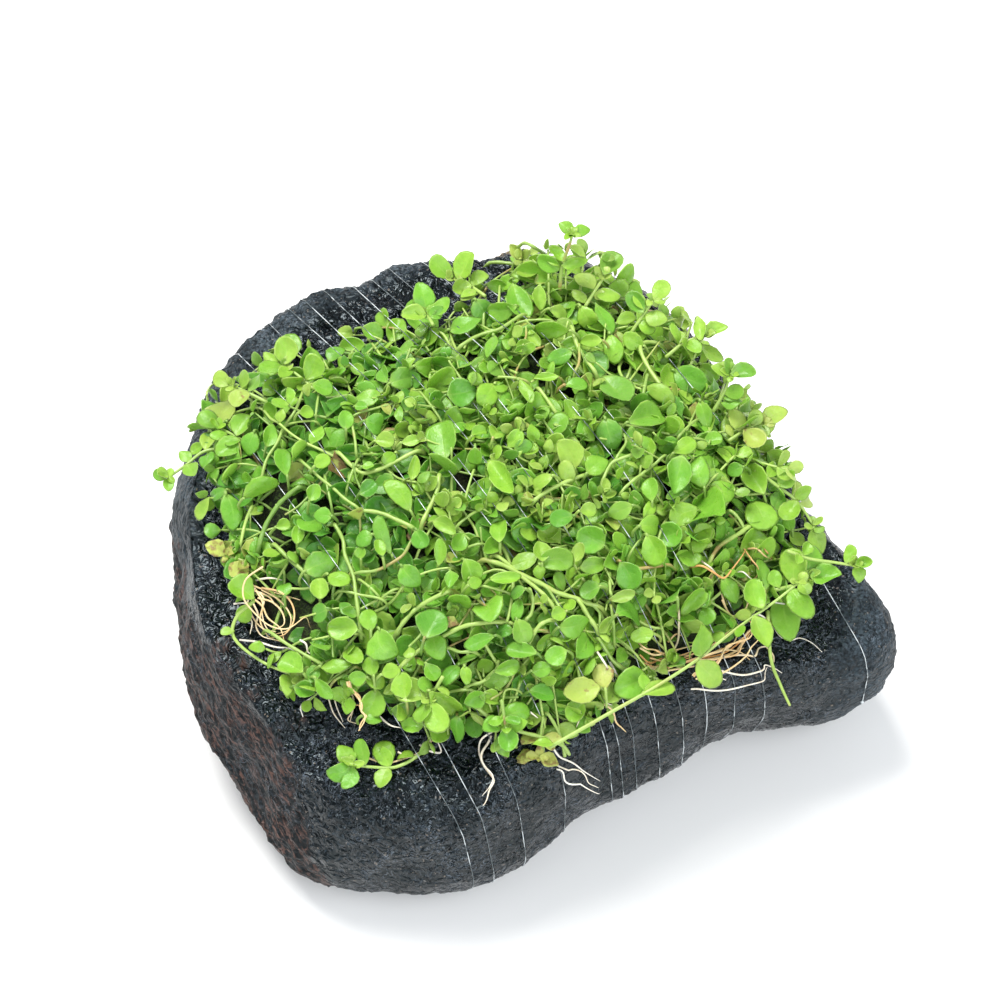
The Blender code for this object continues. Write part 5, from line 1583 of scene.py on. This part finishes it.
def creeping_sprigs(growths, ground):
    """Sprigs that creep in all directions, and outwards near the cushion's edge."""
    rng = growths[0].rng
    shorter, shorter_from, shorter_over = SPRIG_SHORTER
    for number in range(SPRIGS):
        angle, part, reach = sown(ground, number, SPRIGS, SPRIG_FAR)
        x = reach * math.cos(angle) + rng.normal(0.0, SPRIG_SCATTER)
        y = reach * math.sin(angle) + rng.normal(0.0, SPRIG_SCATTER)
        heading = rng.uniform(0.0, math.tau)
        if part > SPRIG_OUTER_PART:
            heading = angle + rng.normal(0.0, SPRIG_FAN)
        length = rng.uniform(*SPRIG_LENGTHS)
        length *= 1.0 - shorter * max(part - shorter_from, 0.0) / shorter_over
        x -= math.cos(heading) * length * 0.5
        y -= math.sin(heading) * length * 0.5
        size = rng.uniform(*SPRIG_SIZES)
        age = rng.uniform(*OLD_AGES) if rng.uniform() < OLD_SHARE else 0.0
        leggy = rng.uniform() < LEGGY_SHARE
        low, high = rng.uniform(*SPRIG_DEPTHS), rng.uniform(*SPRIG_TOPS)
        gaps, radius = CLOSE_GAPS, STEM_RADIUS
        if leggy:
            low, high = low + LEGGY_RISE[0], high + LEGGY_RISE[1]
            gaps, radius = LEGGY_GAPS, STEM_RADIUS * LEGGY_THICKNESS
        route = sprig_route(rng, ground, (x, y), heading, length, low, high)
        dress(growths[number % SPRIG_PARTS], ground, route, size, region_tone(x, y), age, gaps, radius)


def filling_leaves(growths, ground):
    """Deeper green leaves in the gaps between the sprigs."""
    rng = growths[0].rng
    for number in range(FILL_LEAVES):
        angle, _, reach = sown(ground, number, FILL_LEAVES, FILL_FAR, 1.0)
        x, y = reach * math.cos(angle), reach * math.sin(angle)
        turn = rng.uniform(0.0, math.tau)
        axis = Vector((math.cos(turn), math.sin(turn), rng.uniform(*FILL_RISE)))
        facing = ground.normal(x, y) + Vector(rng.normal(0.0, FILL_SCATTER, 3))
        root = Vector((x, y, ground.height(x, y) - rng.uniform(*FILL_DEPTHS)))
        age = rng.uniform(*FILL_OLD_AGES) if rng.uniform() < FILL_OLD_SHARE else 0.0
        length = LEAF_LENGTH * rng.uniform(*FILL_SIZES)
        tone = region_tone(x, y) - FILL_SHADE
        growths[number % SPRIG_PARTS].leaf(root, axis, facing, length, tone, age)


def make_cushion(ground, materials):
    """The cushion's sprigs, dealt out to pieces so that none grows too large, and what stands out on it."""
    rng = np.random.default_rng(SEED)
    growths = [Growth(rng) for _ in range(SPRIG_PARTS)]
    creeping_sprigs(growths, ground)
    edge_sprigs(growths, ground)
    filling_leaves(growths, ground)
    clear_view(growths, ground)
    for number, growth in enumerate(growths):
        growth.build(f"cushion_sprigs_{number + 1}", materials, "pearl_grass_mat")
    top = Growth(rng)
    seen_leaves(top, ground)
    seen_stems(top, ground)
    top.build("cushion_top_leaves", materials, "pearl_grass_mat")


def make_thatch(ground, material):
    """Tangle of old stems under the leaves, which closes the cushion, dark with painted shade."""
    verts = []
    for k in range(1, THATCH_RINGS + 1):
        for n in range(THATCH_SIDES):
            angle = math.tau * n / THATCH_SIDES
            reach = ground.outline(angle) * (k / THATCH_RINGS) * THATCH_FAR
            x, y = reach * math.cos(angle), reach * math.sin(angle)
            rough = 0.0
            for layer, (size, amount) in enumerate(THATCH_GRAIN):
                rough += amount * noise.noise(Vector((x, y, 9.0 * layer)) / size)
            stone = ground.stone(x, y)
            top = max(ground.height(x, y) - THATCH_DEPTH + rough, stone + THATCH_OVER_ROCK)
            verts.append((x, y, top if k < THATCH_RINGS else stone - THATCH_IN_ROCK))
    centre = len(verts)
    verts.append((0.0, 0.0, ground.height(0.0, 0.0) - THATCH_MIDDLE_DEPTH))
    under = len(verts)
    verts.append((0.0, 0.0, ground.stone(0.0, 0.0) - THATCH_IN_ROCK))
    last = (THATCH_RINGS - 1) * THATCH_SIDES
    faces = []
    for n in range(THATCH_SIDES):
        m = (n + 1) % THATCH_SIDES
        faces += [(centre, n, m), (under, last + m, last + n)]
        for near in range(0, last, THATCH_SIDES):
            far = near + THATCH_SIDES
            faces.append((near + n, far + n, far + m, near + m))
    piece = add_mesh("cushion_thatch_painted_shade", np.array(verts), faces, [material])
    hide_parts("pearl_grass_mat")


def cad_lift(node, low, high):
    """How far a node was raised or lowered as it settled, from the heights of its drawn form."""
    corner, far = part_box(node)
    return ((corner.z / MM - low) + (far.z / MM - high)) / 2.0


def along_route(points, part):
    """Place and heading at a part of a route's length."""
    pts = [Vector(p) for p in points]
    steps = [(b - a).length for a, b in zip(pts, pts[1:])]
    left = part * sum(steps)
    for i, step in enumerate(steps):
        if left <= step + 1e-6:
            way = pts[i + 1] - pts[i]
            return pts[i] + way * (left / step), math.atan2(way.y, way.x)
        left -= step
    way = pts[-1] - pts[-2]
    return pts[-1].copy(), math.atan2(way.y, way.x)


def pointing(heading, rise):
    """Direction at a heading and a rise, both in radians."""
    level = math.cos(rise)
    return Vector((math.cos(heading) * level, math.sin(heading) * level, math.sin(rise)))


def shoot_lift(name, points, leaves):
    """How far a shoot was raised or lowered as it settled, from the stem and the leaves of its CAD node."""
    heights = [p[2] - CAD_STEM_RADIUS for p in points] + [p[2] + CAD_STEM_RADIUS for p in points]
    for part, _, rise, length in leaves:
        root, _ = along_route(points, part)
        rise = math.radians(rise)
        heights.append(root.z + 0.95 * length * math.sin(rise))
        heights.append(root.z - 0.08 * length * math.sin(rise))
    return cad_lift(name, min(heights), max(heights))


def small_leaves(growth, points, tone, age):
    """Young leaves at a shoot's tip and a few small ones along it."""
    rng = growth.rng
    tip, heading = along_route(points, 1.0)
    for number in range(TIP_LEAVES):
        turn = heading + math.pi * 0.5 * number + rng.normal(0.0, 0.3)
        axis = Vector((math.cos(turn), math.sin(turn), rng.uniform(0.4, 1.2)))
        facing = Vector((-math.cos(turn), -math.sin(turn), 1.0))
        growth.leaf(tip, axis, facing, rng.uniform(*TIP_LEAF_LENGTHS), min(tone + 0.15, 1.0), age)
    for _ in range(SIDE_LEAVES):
        root, heading = along_route(points, rng.uniform(0.1, 0.75))
        turn = heading + rng.choice((-1.0, 1.0)) * rng.uniform(0.9, 1.7)
        axis = Vector((math.cos(turn), math.sin(turn), rng.uniform(0.1, 0.6)))
        facing = Vector((0, 0, 1)) + Vector(rng.normal(0.0, 0.35, 3))
        length = rng.uniform(*SIDE_LEAF_LENGTHS)
        leaf_tone = SHOOT_DEPTH * tone + rng.normal(0.0, SHOOT_TONE_SCATTER)
        growth.leaf(root, axis, facing, length, leaf_tone, age)


def make_shoots(materials):
    """The shoots and runners that stand clear, each in the place of its CAD node."""
    for name, (drawn, leaves) in SHOOTS.items():
        rng = np.random.default_rng(SEED + len(name) + int(abs(drawn[0][0]) * 10))
        growth = Growth(rng)
        tone, age = SHOOT_TONES[name]
        lift = Vector((0, 0, shoot_lift(name, drawn, leaves)))
        points = [Vector(p) + lift for p in drawn]
        route = eased(points, 5)
        count = len(route)
        radii = [STEM_RADIUS * (SHOOT_THICKNESS - STEM_TAPER * k / count) for k in range(count)]
        stem_tone = min(tone + STEM_TIP_PALER, 1.0)
        growth.tube(route, radii, [stem_tone] * count, age * SHOOT_STEM_AGE, sides=8)
        for part, turn, rise, length in leaves:
            root, heading = along_route(points, part)
            axis = pointing(heading + math.radians(turn), math.radians(rise))
            facing = Vector((0, 0, 1)) + Vector(rng.normal(0.0, SHOOT_SCATTER, 3))
            length *= rng.uniform(*SHOOT_SIZES)
            leaf_tone = min(SHOOT_DEPTH * tone + rng.normal(0.0, SHOOT_TONE_SCATTER), 1.0)
            leaf_age = max(age + rng.normal(0.0, SHOOT_AGE_SCATTER), 0.0)
            bend, width = rng.uniform(*SHOOT_BEND), rng.uniform(*SHOOT_WIDTH)
            growth.leaf(root, axis, facing, length, leaf_tone, leaf_age, width=width, bend=bend)
        if leaves:
            small_leaves(growth, points, tone, age)
        growth.build(name + "_grown", materials, name, slot="young_shoots")


def make_roots(ground, material):
    """Wiry roots outside the cushion, each bundle in the place of its CAD node."""
    for name, (points, strands, scatter, shade) in ROOTS.items():
        growth = Growth(np.random.default_rng(SEED + len(name) * 3 + strands))
        low = min(p[2] for p in points) - CAD_ROOT_RADIUS
        high = max(p[2] for p in points) + CAD_ROOT_RADIUS
        lift = Vector((0, 0, cad_lift(name, low, high)))
        guide = eased(rooted([Vector(p) + lift for p in points], ground), 7)
        for _ in range(strands):
            root_strand(growth, wandering(guide, scatter, growth.rng), shade)
        for seen_shade, *pixels in SEEN_ROOTS.get(name, ()):
            root_strand(growth, eased(seen_root(pixels, ground, growth.rng), 5), seen_shade)
        growth.build(name + "_strands", [material], name, slot="roots")


def wandering(guide, scatter, rng):
    """Route of one strand of a bundle, which wanders beside the route that guides it."""
    shift = Vector(rng.normal(0.0, scatter, 3))
    shift.z = abs(shift.z) * ROOT_SCATTER_UP
    phases = rng.uniform(0.0, math.tau, 3)
    reach = ROOT_WAVE_HEIGHT + ROOT_WAVE_SCATTER * scatter
    waves = tuple(zip((reach, reach, ROOT_WAVE_UP), ROOT_WAVES, phases))
    route = []
    for k, place in enumerate(guide):
        part = k / (len(guide) - 1)
        wave = Vector([height * math.sin(part * turns + phase) for height, turns, phase in waves])
        route.append(Vector(place) + shift * (ROOT_SCATTER_ENDS + math.sin(part * math.pi)) + wave)
    return route


def seen_root(pixels, ground, rng):
    """Places that a root passes through, over the leaves where they would hide it."""
    points = []
    for k, (u, v) in enumerate(pixels):
        place = ground.seen(u, v)
        lift = rng.uniform(*ROOT_LIFT)
        sunk = any(math.hypot(u - x, v - y) < reach for x, y, reach in SEEN_HOLLOWS)
        if on_cushion(place, ground) and 0 < k < len(pixels) - 1 and not sunk:
            lift = rng.uniform(*ROOT_LIFT_OVER_LEAVES)
        points.append(ground.seen(u, v, lift))
    return points


def on_cushion(place, ground):
    """Whether a place lies well inside the cushion's outline."""
    return ground.part(place.x, place.y) < ROOT_BED_END


def rooted(points, ground):
    """Route with a foot in the cushion added at each end that hangs over it."""
    route = list(points)
    for end in (0, -1):
        place = route[end]
        top = ground.height(place.x, place.y)
        if place.z > top + ROOT_HANGS and on_cushion(place, ground):
            foot = Vector((place.x * ROOT_FOOT_PART, place.y * ROOT_FOOT_PART, top - ROOT_FOOT_DEPTH))
            route = route + [foot] if end else [foot] + route
    return route


def root_strand(growth, route, shade):
    """One root that thins out towards its end."""
    rng = growth.rng
    radius = ROOT_RADIUS * rng.uniform(*ROOT_SIZES)
    radii = [radius * (1.0 - ROOT_TAPER * (k / len(route)) ** 2) for k in range(len(route))]
    tone = min(max(shade + rng.normal(0.0, ROOT_TONE_SCATTER), 0.0), 1.0)
    growth.tube(route, radii, [tone] * len(route), 0.0, sides=6, slot=0)


# Materials


class Shader:
    """Node tree of one material."""

    def __init__(self, name):
        self.material = bpy.data.materials.new(name)
        self.material.use_nodes = True
        self.tree = self.material.node_tree
        self.surface = self.tree.nodes["Principled BSDF"]

    def node(self, kind, **inputs):
        """Node of a kind with its inputs, which are values or sockets."""
        made = self.tree.nodes.new("ShaderNode" + kind)
        for label, value in inputs.items():
            self.put(made.inputs[label.replace("_", " ")], value)
        return made

    def put(self, socket, value):
        """Link a socket to another, or set its value."""
        if isinstance(value, bpy.types.NodeSocket):
            self.tree.links.new(value, socket)
        else:
            socket.default_value = value

    def math(self, operation, a, b=0.0, clamp=False):
        """Result of a sum on two values."""
        made = self.tree.nodes.new("ShaderNodeMath")
        made.operation = operation
        made.use_clamp = clamp
        self.put(made.inputs[0], a)
        self.put(made.inputs[1], b)
        return made.outputs[0]

    def mix(self, part, a, b, blend="MIX"):
        """Colour between two others."""
        made = self.tree.nodes.new("ShaderNodeMix")
        made.data_type = "RGBA"
        made.blend_type = blend
        self.put(made.inputs["Factor"], part)
        self.put(made.inputs[6], a)
        self.put(made.inputs[7], b)
        return made.outputs[2]

    def range(self, value, low, high, out_low=0.0, out_high=1.0, smooth_step=True):
        """Value carried from one range to another."""
        made = self.tree.nodes.new("ShaderNodeMapRange")
        made.interpolation_type = "SMOOTHSTEP" if smooth_step else "LINEAR"
        self.put(made.inputs["Value"], value)
        made.inputs["From Min"].default_value = low
        made.inputs["From Max"].default_value = high
        made.inputs["To Min"].default_value = out_low
        made.inputs["To Max"].default_value = out_high
        return made.outputs["Result"]

    def coords(self):
        """Coordinates of the object, in metres."""
        return self.node("TexCoord").outputs["Object"]

    def along(self, turn, stretch):
        """Coordinates drawn out along a turned axis."""
        made = self.node("Mapping", Vector=self.coords(), Rotation=turn, Scale=(stretch, 1.0, 1.0))
        made.vector_type = "TEXTURE"
        return made.outputs[0]

    def noise(self, scale, detail=2.0, rough=0.5, vector=None, distortion=0.0):
        """Noise from 0 to 1."""
        made = self.node("TexNoise", Scale=scale, Detail=detail, Roughness=rough, Distortion=distortion)
        self.put(made.inputs["Vector"], vector if vector is not None else self.coords())
        return made.outputs["Fac"]

    def attribute(self, name):
        """The four channels of a colour that the mesh carries."""
        made = self.tree.nodes.new("ShaderNodeAttribute")
        made.attribute_name = name
        split = self.node("SeparateColor", Color=made.outputs["Color"])
        return (*split.outputs, made.outputs["Alpha"])

    def bump(self, height, distance, strength=1.0, normal=None):
        """Normal that follows a height."""
        made = self.node("Bump", Height=height, Distance=distance, Strength=strength)
        if normal is not None:
            self.put(made.inputs["Normal"], normal)
        return made.outputs["Normal"]

    def finish(self, colour, roughness, normal=None, **constants):
        """Material with its colour, roughness and normal, and what is the same all over it."""
        self.put(self.surface.inputs["Base Color"], colour)
        self.put(self.surface.inputs["Roughness"], roughness)
        if normal is not None:
            self.put(self.surface.inputs["Normal"], normal)
        for label, value in constants.items():
            self.put(self.surface.inputs[label.replace("_", " ")], value)
        return self.material


def tint(red, green, blue):
    """Colour as seen on a screen, from 0 to 255, given as light."""
    parts = [c / 255.0 for c in (red, green, blue)]
    return tuple(c / 12.92 if c <= 0.04045 else ((c + 0.055) / 1.055) ** 2.4 for c in parts) + (1.0,)


def rock_material():
    """Wet dark lava: blue-black, with painted glints as rippled lines and specks, painted shade in its pits,
    pale specks, a brown broken face.
    """
    s = Shader("wet_lava_rock_skin")
    brown, tan, pit, dull = s.attribute("stone")
    ripple = s.noise(480.0, 1.0, 0.4, distortion=1.3)
    grain = s.noise(1700.0, 3.0, 0.6, distortion=0.5)
    patch = s.noise(110.0, 3.0, 0.6)
    colour = s.mix(s.range(grain, 0.4, 0.7), tint(1, 2, 3), tint(12, 20, 23))
    colour = s.mix(s.range(patch, 0.42, 0.66, 0.0, 0.5), colour, tint(12, 17, 17))
    # Painted highlight: bluish-grey specks in the colour, for glints
    glint = s.noise(700.0, 3.0, 0.6, distortion=1.6)
    colour = s.mix(s.range(glint, 0.54, 0.7, 0.0, 0.6), colour, tint(52, 62, 72))
    faded = s.math("MULTIPLY", dull, s.range(s.noise(150.0, 3.0), 0.4, 0.6, 0.3, 0.8))
    colour = s.mix(faded, colour, s.mix(s.range(grain, 0.35, 0.65), tint(8, 12, 15), tint(62, 74, 82)))
    # Painted highlight: thin bright rippled lines in the colour, in patches, for the glints of the wet film
    wave = s.math("ABSOLUTE", s.math("SUBTRACT", s.noise(360.0, 3.0, 0.6, distortion=2.2), 0.5))
    glint_line_patches = s.range(s.noise(75.0, 2.0), 0.44, 0.62, 0.05, 0.7)
    painted_glint_lines = s.math("MULTIPLY", s.range(wave, 0.0, 0.018, 1.0, 0.0), glint_line_patches)
    colour = s.mix(painted_glint_lines, colour, tint(118, 128, 140))
    fleck = s.noise(1500.0, 1.0, 0.5)
    speck = s.mix(s.noise(330.0, 1.0), tint(110, 114, 118), tint(124, 104, 78))
    colour = s.mix(s.range(fleck, 0.69, 0.75, 0.0, 0.8), colour, speck)
    run = s.along(LAYER_TURN, FIBRE_STRETCH)
    fibre = s.noise(1500.0, 4.0, 0.65, vector=run, distortion=0.7)
    dry = s.mix(s.range(fibre, 0.47, 0.62), tint(6, 6, 6), tint(102, 75, 66))
    rust = s.math("MULTIPLY", s.range(s.noise(300.0, 4.0, 0.6, vector=run), 0.38, 0.6, 0.25, 0.9), brown)
    colour = s.mix(rust, colour, dry)
    worn = s.math("MULTIPLY", s.range(tan, 0.3, 0.8), s.range(s.noise(420.0, 4.0, 0.65), 0.46, 0.58))
    colour = s.mix(worn, colour, s.mix(grain, tint(86, 72, 50), tint(150, 132, 98)))
    # Painted shade: darker in the pits
    colour = s.mix(s.math("MULTIPLY", pit, 0.7), colour, tint(3, 4, 5))
    rough = s.range(s.noise(240.0, 2.0), 0.35, 0.65, 0.17, 0.08)
    rough = s.math("ADD", rough, s.math("MULTIPLY", s.math("MAXIMUM", brown, dull), 0.4), clamp=True)
    normal = s.bump(ripple, 0.0012, 1.0)
    normal = s.bump(grain, 0.00004, 0.8, normal)
    return s.finish(colour, rough, normal, Specular_IOR_Level=0.3, Specular_Tint=(0.8, 0.94, 1.0, 1.0))


# Greens of a leaf, from a deep tone to a yellow one
LEAF_GREENS = {
    0.0: tint(71, 132, 42),
    0.35: tint(109, 166, 53),
    0.65: tint(133, 177, 57),
    1.0: tint(158, 183, 88),
}


def leaf_material():
    """Fresh leaf: green from deep to yellow, faint veins, a painted highlight along the rim, yellowing and
    dry spots with age.
    """
    s = Shader("pearl_grass_blade")
    tone, age, chance, above = s.attribute("tone")
    ramp = s.node("ValToRGB", Fac=tone)
    elements = ramp.color_ramp.elements
    elements[0].color, elements[1].color = LEAF_GREENS[0.0], LEAF_GREENS[1.0]
    for position in (0.35, 0.65):
        elements.new(position).color = LEAF_GREENS[position]
    colour = ramp.outputs["Color"]
    colour = s.mix(s.range(chance, 0.04, 0.16, 0.3, 0.0), colour, tint(74, 140, 70))
    mottle = s.noise(620.0, 3.0, 0.55)
    deeper = s.mix(1.0, colour, tint(160, 200, 150), "MULTIPLY")
    colour = s.mix(s.range(mottle, 0.3, 0.7, 0.0, 0.3), colour, deeper)
    value = s.range(chance, 0.0, 1.0, 0.86, 1.03, False)
    grey = s.node("CombineColor", Red=value, Green=value, Blue=value).outputs[0]
    colour = s.mix(1.0, colour, grey, "MULTIPLY")
    place = s.node("SeparateXYZ", Vector=s.node("UVMap").outputs["UV"])
    u, v = place.outputs[0], place.outputs[1]
    off = s.math("MULTIPLY", s.math("ABSOLUTE", s.math("SUBTRACT", v, 0.5)), 2.0)
    rib = s.math("MULTIPLY", s.range(off, 0.0, 0.1, 1.0, 0.0), s.range(u, 0.2, 0.95, 1.0, 0.1))
    veins = s.math("SUBTRACT", s.math("MULTIPLY", u, 34.0), s.math("MULTIPLY", off, 14.0))
    veins = s.range(s.math("SINE", veins), 0.55, 1.0, 0.0, 0.04)
    lines = s.math("MAXIMUM", s.math("MULTIPLY", rib, 0.18), veins)
    colour = s.mix(lines, colour, s.mix(0.5, colour, tint(206, 226, 130)))
    base = s.range(u, 0.0, 0.3, 0.3, 0.0)
    colour = s.mix(base, colour, tint(176, 204, 104))
    # Painted highlight: paler rim along the blade's edge
    rim = s.math("MAXIMUM", s.range(off, 0.86, 1.0), s.range(u, 0.95, 1.0))
    colour = s.mix(s.math("MULTIPLY", rim, 0.4), colour, tint(190, 216, 110))
    colour = s.mix(s.math("MULTIPLY", s.math("SUBTRACT", 1.0, above), 0.35), colour, tint(118, 160, 66))
    spots = s.noise(760.0, 3.0, 0.6)
    yellow = s.range(age, 0.08, 0.45, 0.0, 0.7)
    colour = s.mix(yellow, colour, tint(174, 176, 92))
    worn = s.math("ADD", age, s.math("MULTIPLY", s.math("SUBTRACT", spots, 0.5), 1.5))
    worn = s.math("MULTIPLY", s.range(worn, 0.42, 0.72), s.range(age, 0.05, 0.2))
    colour = s.mix(worn, colour, s.mix(spots, tint(80, 62, 36), tint(146, 120, 74)))
    rough = s.range(s.noise(1400.0, 2.0), 0.3, 0.7, 0.26, 0.44)
    rough = s.math("ADD", rough, s.math("MULTIPLY", age, 0.25))
    height = s.math("ADD", s.math("MULTIPLY", lines, -0.6), s.math("MULTIPLY", s.noise(1100.0, 2.0), 0.6))
    return s.finish(
        colour, rough, s.bump(height, 0.00022, 0.9), Specular_IOR_Level=0.3, Subsurface_Weight=0.12,
        Subsurface_Radius=(0.0006, 0.0012, 0.0003), Subsurface_Scale=1.0,
    )


def stem_material():
    """Juicy stem, pale yellow-green, with darker joints and brown where it is old."""
    s = Shader("pearl_grass_stem")
    tone, age, chance, _ = s.attribute("tone")
    colour = s.mix(tone, tint(70, 120, 40), tint(166, 192, 98))
    streak = s.noise(700.0, 3.0, 0.6)
    colour = s.mix(s.range(streak, 0.4, 0.7, 0.0, 0.4), colour, tint(130, 166, 74))
    browned = s.range(chance, 0.78, 0.97, 0.0, 0.75)
    blush = s.math("MULTIPLY", browned, s.range(s.noise(190.0, 2.0), 0.45, 0.6))
    colour = s.mix(blush, colour, tint(176, 138, 92))
    colour = s.mix(s.range(age, 0.1, 0.5, 0.0, 0.7), colour, tint(150, 122, 76))
    rough = s.range(s.noise(1500.0, 2.0), 0.3, 0.7, 0.3, 0.46)
    return s.finish(colour, rough, s.bump(streak, 0.00015, 0.6), Specular_IOR_Level=0.5)


def root_material():
    """Fine root from white through straw to orange."""
    s = Shader("pale_root_skin")
    tone = s.attribute("tone")[0]
    colour = s.mix(s.range(tone, 0.0, 0.5), tint(242, 238, 226), tint(228, 204, 154))
    colour = s.mix(s.range(tone, 0.5, 1.0), colour, tint(216, 158, 92))
    mottle = s.noise(900.0, 3.0, 0.6)
    deeper = s.mix(1.0, colour, tint(220, 190, 160), "MULTIPLY")
    colour = s.mix(s.range(mottle, 0.45, 0.7, 0.0, 0.4), colour, deeper)
    rough = s.range(mottle, 0.3, 0.7, 0.36, 0.55)
    return s.finish(colour, rough, s.bump(mottle, 0.0001, 0.6), Specular_IOR_Level=0.45)


def thatch_and_shade_material():
    """Tangle of old stems, from near black to dull olive and brown, where the near black is painted shade
    deep in the cushion.
    """
    s = Shader("old_thatch_painted_shade")
    strands = s.noise(1300.0, 3.0, 0.65, distortion=1.2)
    # Painted shade: the strands run down to near black, for the shade under the leaves
    colour = s.mix(s.range(strands, 0.42, 0.68), tint(16, 26, 10), tint(60, 80, 32))
    colour = s.mix(s.range(s.noise(300.0, 3.0), 0.5, 0.7, 0.0, 0.6), colour, tint(52, 42, 27))
    rough = s.range(strands, 0.3, 0.7, 0.5, 0.7)
    return s.finish(colour, rough, s.bump(strands, 0.0012, 0.9), Specular_IOR_Level=0.3)


def line_material():
    """Clear nylon, dim, with short bright stretches of painted highlight."""
    s = Shader("clear_nylon_line")
    # Painted highlight: bright stretches along the line, where it would catch the light
    stretch = s.noise(210.0, 3.0, 0.6)
    colour = s.mix(s.range(stretch, 0.46, 0.6), tint(80, 90, 93), tint(212, 219, 221))
    rough = s.range(stretch, 0.3, 0.7, 0.3, 0.12)
    return s.finish(colour, rough, None, Specular_IOR_Level=0.6)


def floor_material():
    """Plain pale floor."""
    s = Shader("pale_floor")
    soft = s.noise(6.0, 2.0)
    colour = s.mix(soft, tint(236, 236, 235), tint(240, 240, 239))
    return s.finish(colour, s.range(soft, 0.3, 0.7, 0.6, 0.7), None, Specular_IOR_Level=0.3)


# Stage


def aimed(piece, target):
    """Turn a lamp or camera towards a place."""
    way = Vector(target) - piece.location
    piece.rotation_euler = way.to_track_quat("-Z", "Y").to_euler()


def add_lamp(name, place, size, power, colour):
    """Soft square lamp aimed at the object."""
    lamp = bpy.data.lights.new(name, "AREA")
    lamp.size = size
    lamp.energy = power
    lamp.color = colour
    piece = bpy.data.objects.new(name, lamp)
    piece.location = place
    aimed(piece, LAMP_AIM)
    bpy.context.scene.collection.objects.link(piece)


def make_stage():
    """Camera, pale floor and soft studio light."""
    scene = bpy.context.scene
    lens = bpy.data.cameras.new("camera")
    lens.lens = CAMERA_LENS
    lens.sensor_width = SENSOR
    lens.clip_start = 0.01
    camera = bpy.data.objects.new("camera", lens)
    camera.location = CAMERA_PLACE
    aimed(camera, CAMERA_AIM)
    scene.collection.objects.link(camera)
    scene.camera = camera
    mesh = bpy.data.meshes.new("floor")
    corners = [(-FLOOR_HALF, -FLOOR_HALF, 0), (FLOOR_HALF, -FLOOR_HALF, 0)]
    corners += [(FLOOR_HALF, FLOOR_HALF, 0), (-FLOOR_HALF, FLOOR_HALF, 0)]
    mesh.from_pydata(corners, [], [(0, 1, 2, 3)])
    mesh.materials.append(floor_material())
    floor = bpy.data.objects.new("floor", mesh)
    scene.collection.objects.link(floor)
    for name, (place, size, power, colour) in LAMPS.items():
        add_lamp(name, place, size, power, colour)
    world = bpy.data.worlds.new("studio")
    world.use_nodes = True
    light = world.node_tree.nodes["Background"].inputs
    light["Color"].default_value = STUDIO_COLOUR
    light["Strength"].default_value = STUDIO_STRENGTH
    scene.world = world
    scene.view_settings.view_transform = "Standard"
    scene.view_settings.look = "None"
    scene.view_settings.exposure = 0.0
    scene.view_settings.gamma = 1.0


def main():
    """Stage, then the rock, then what grows and is tied on it."""
    make_stage()
    verts, quads, rock_tree = make_rock(rock_material())
    ground = Ground(rock_tree)
    plants = [leaf_material(), stem_material()]
    make_cushion(ground, plants)
    make_thatch(ground, thatch_and_shade_material())
    make_shoots(plants)
    make_roots(ground, root_material())
    make_line(verts, quads, ground, line_material())


main()
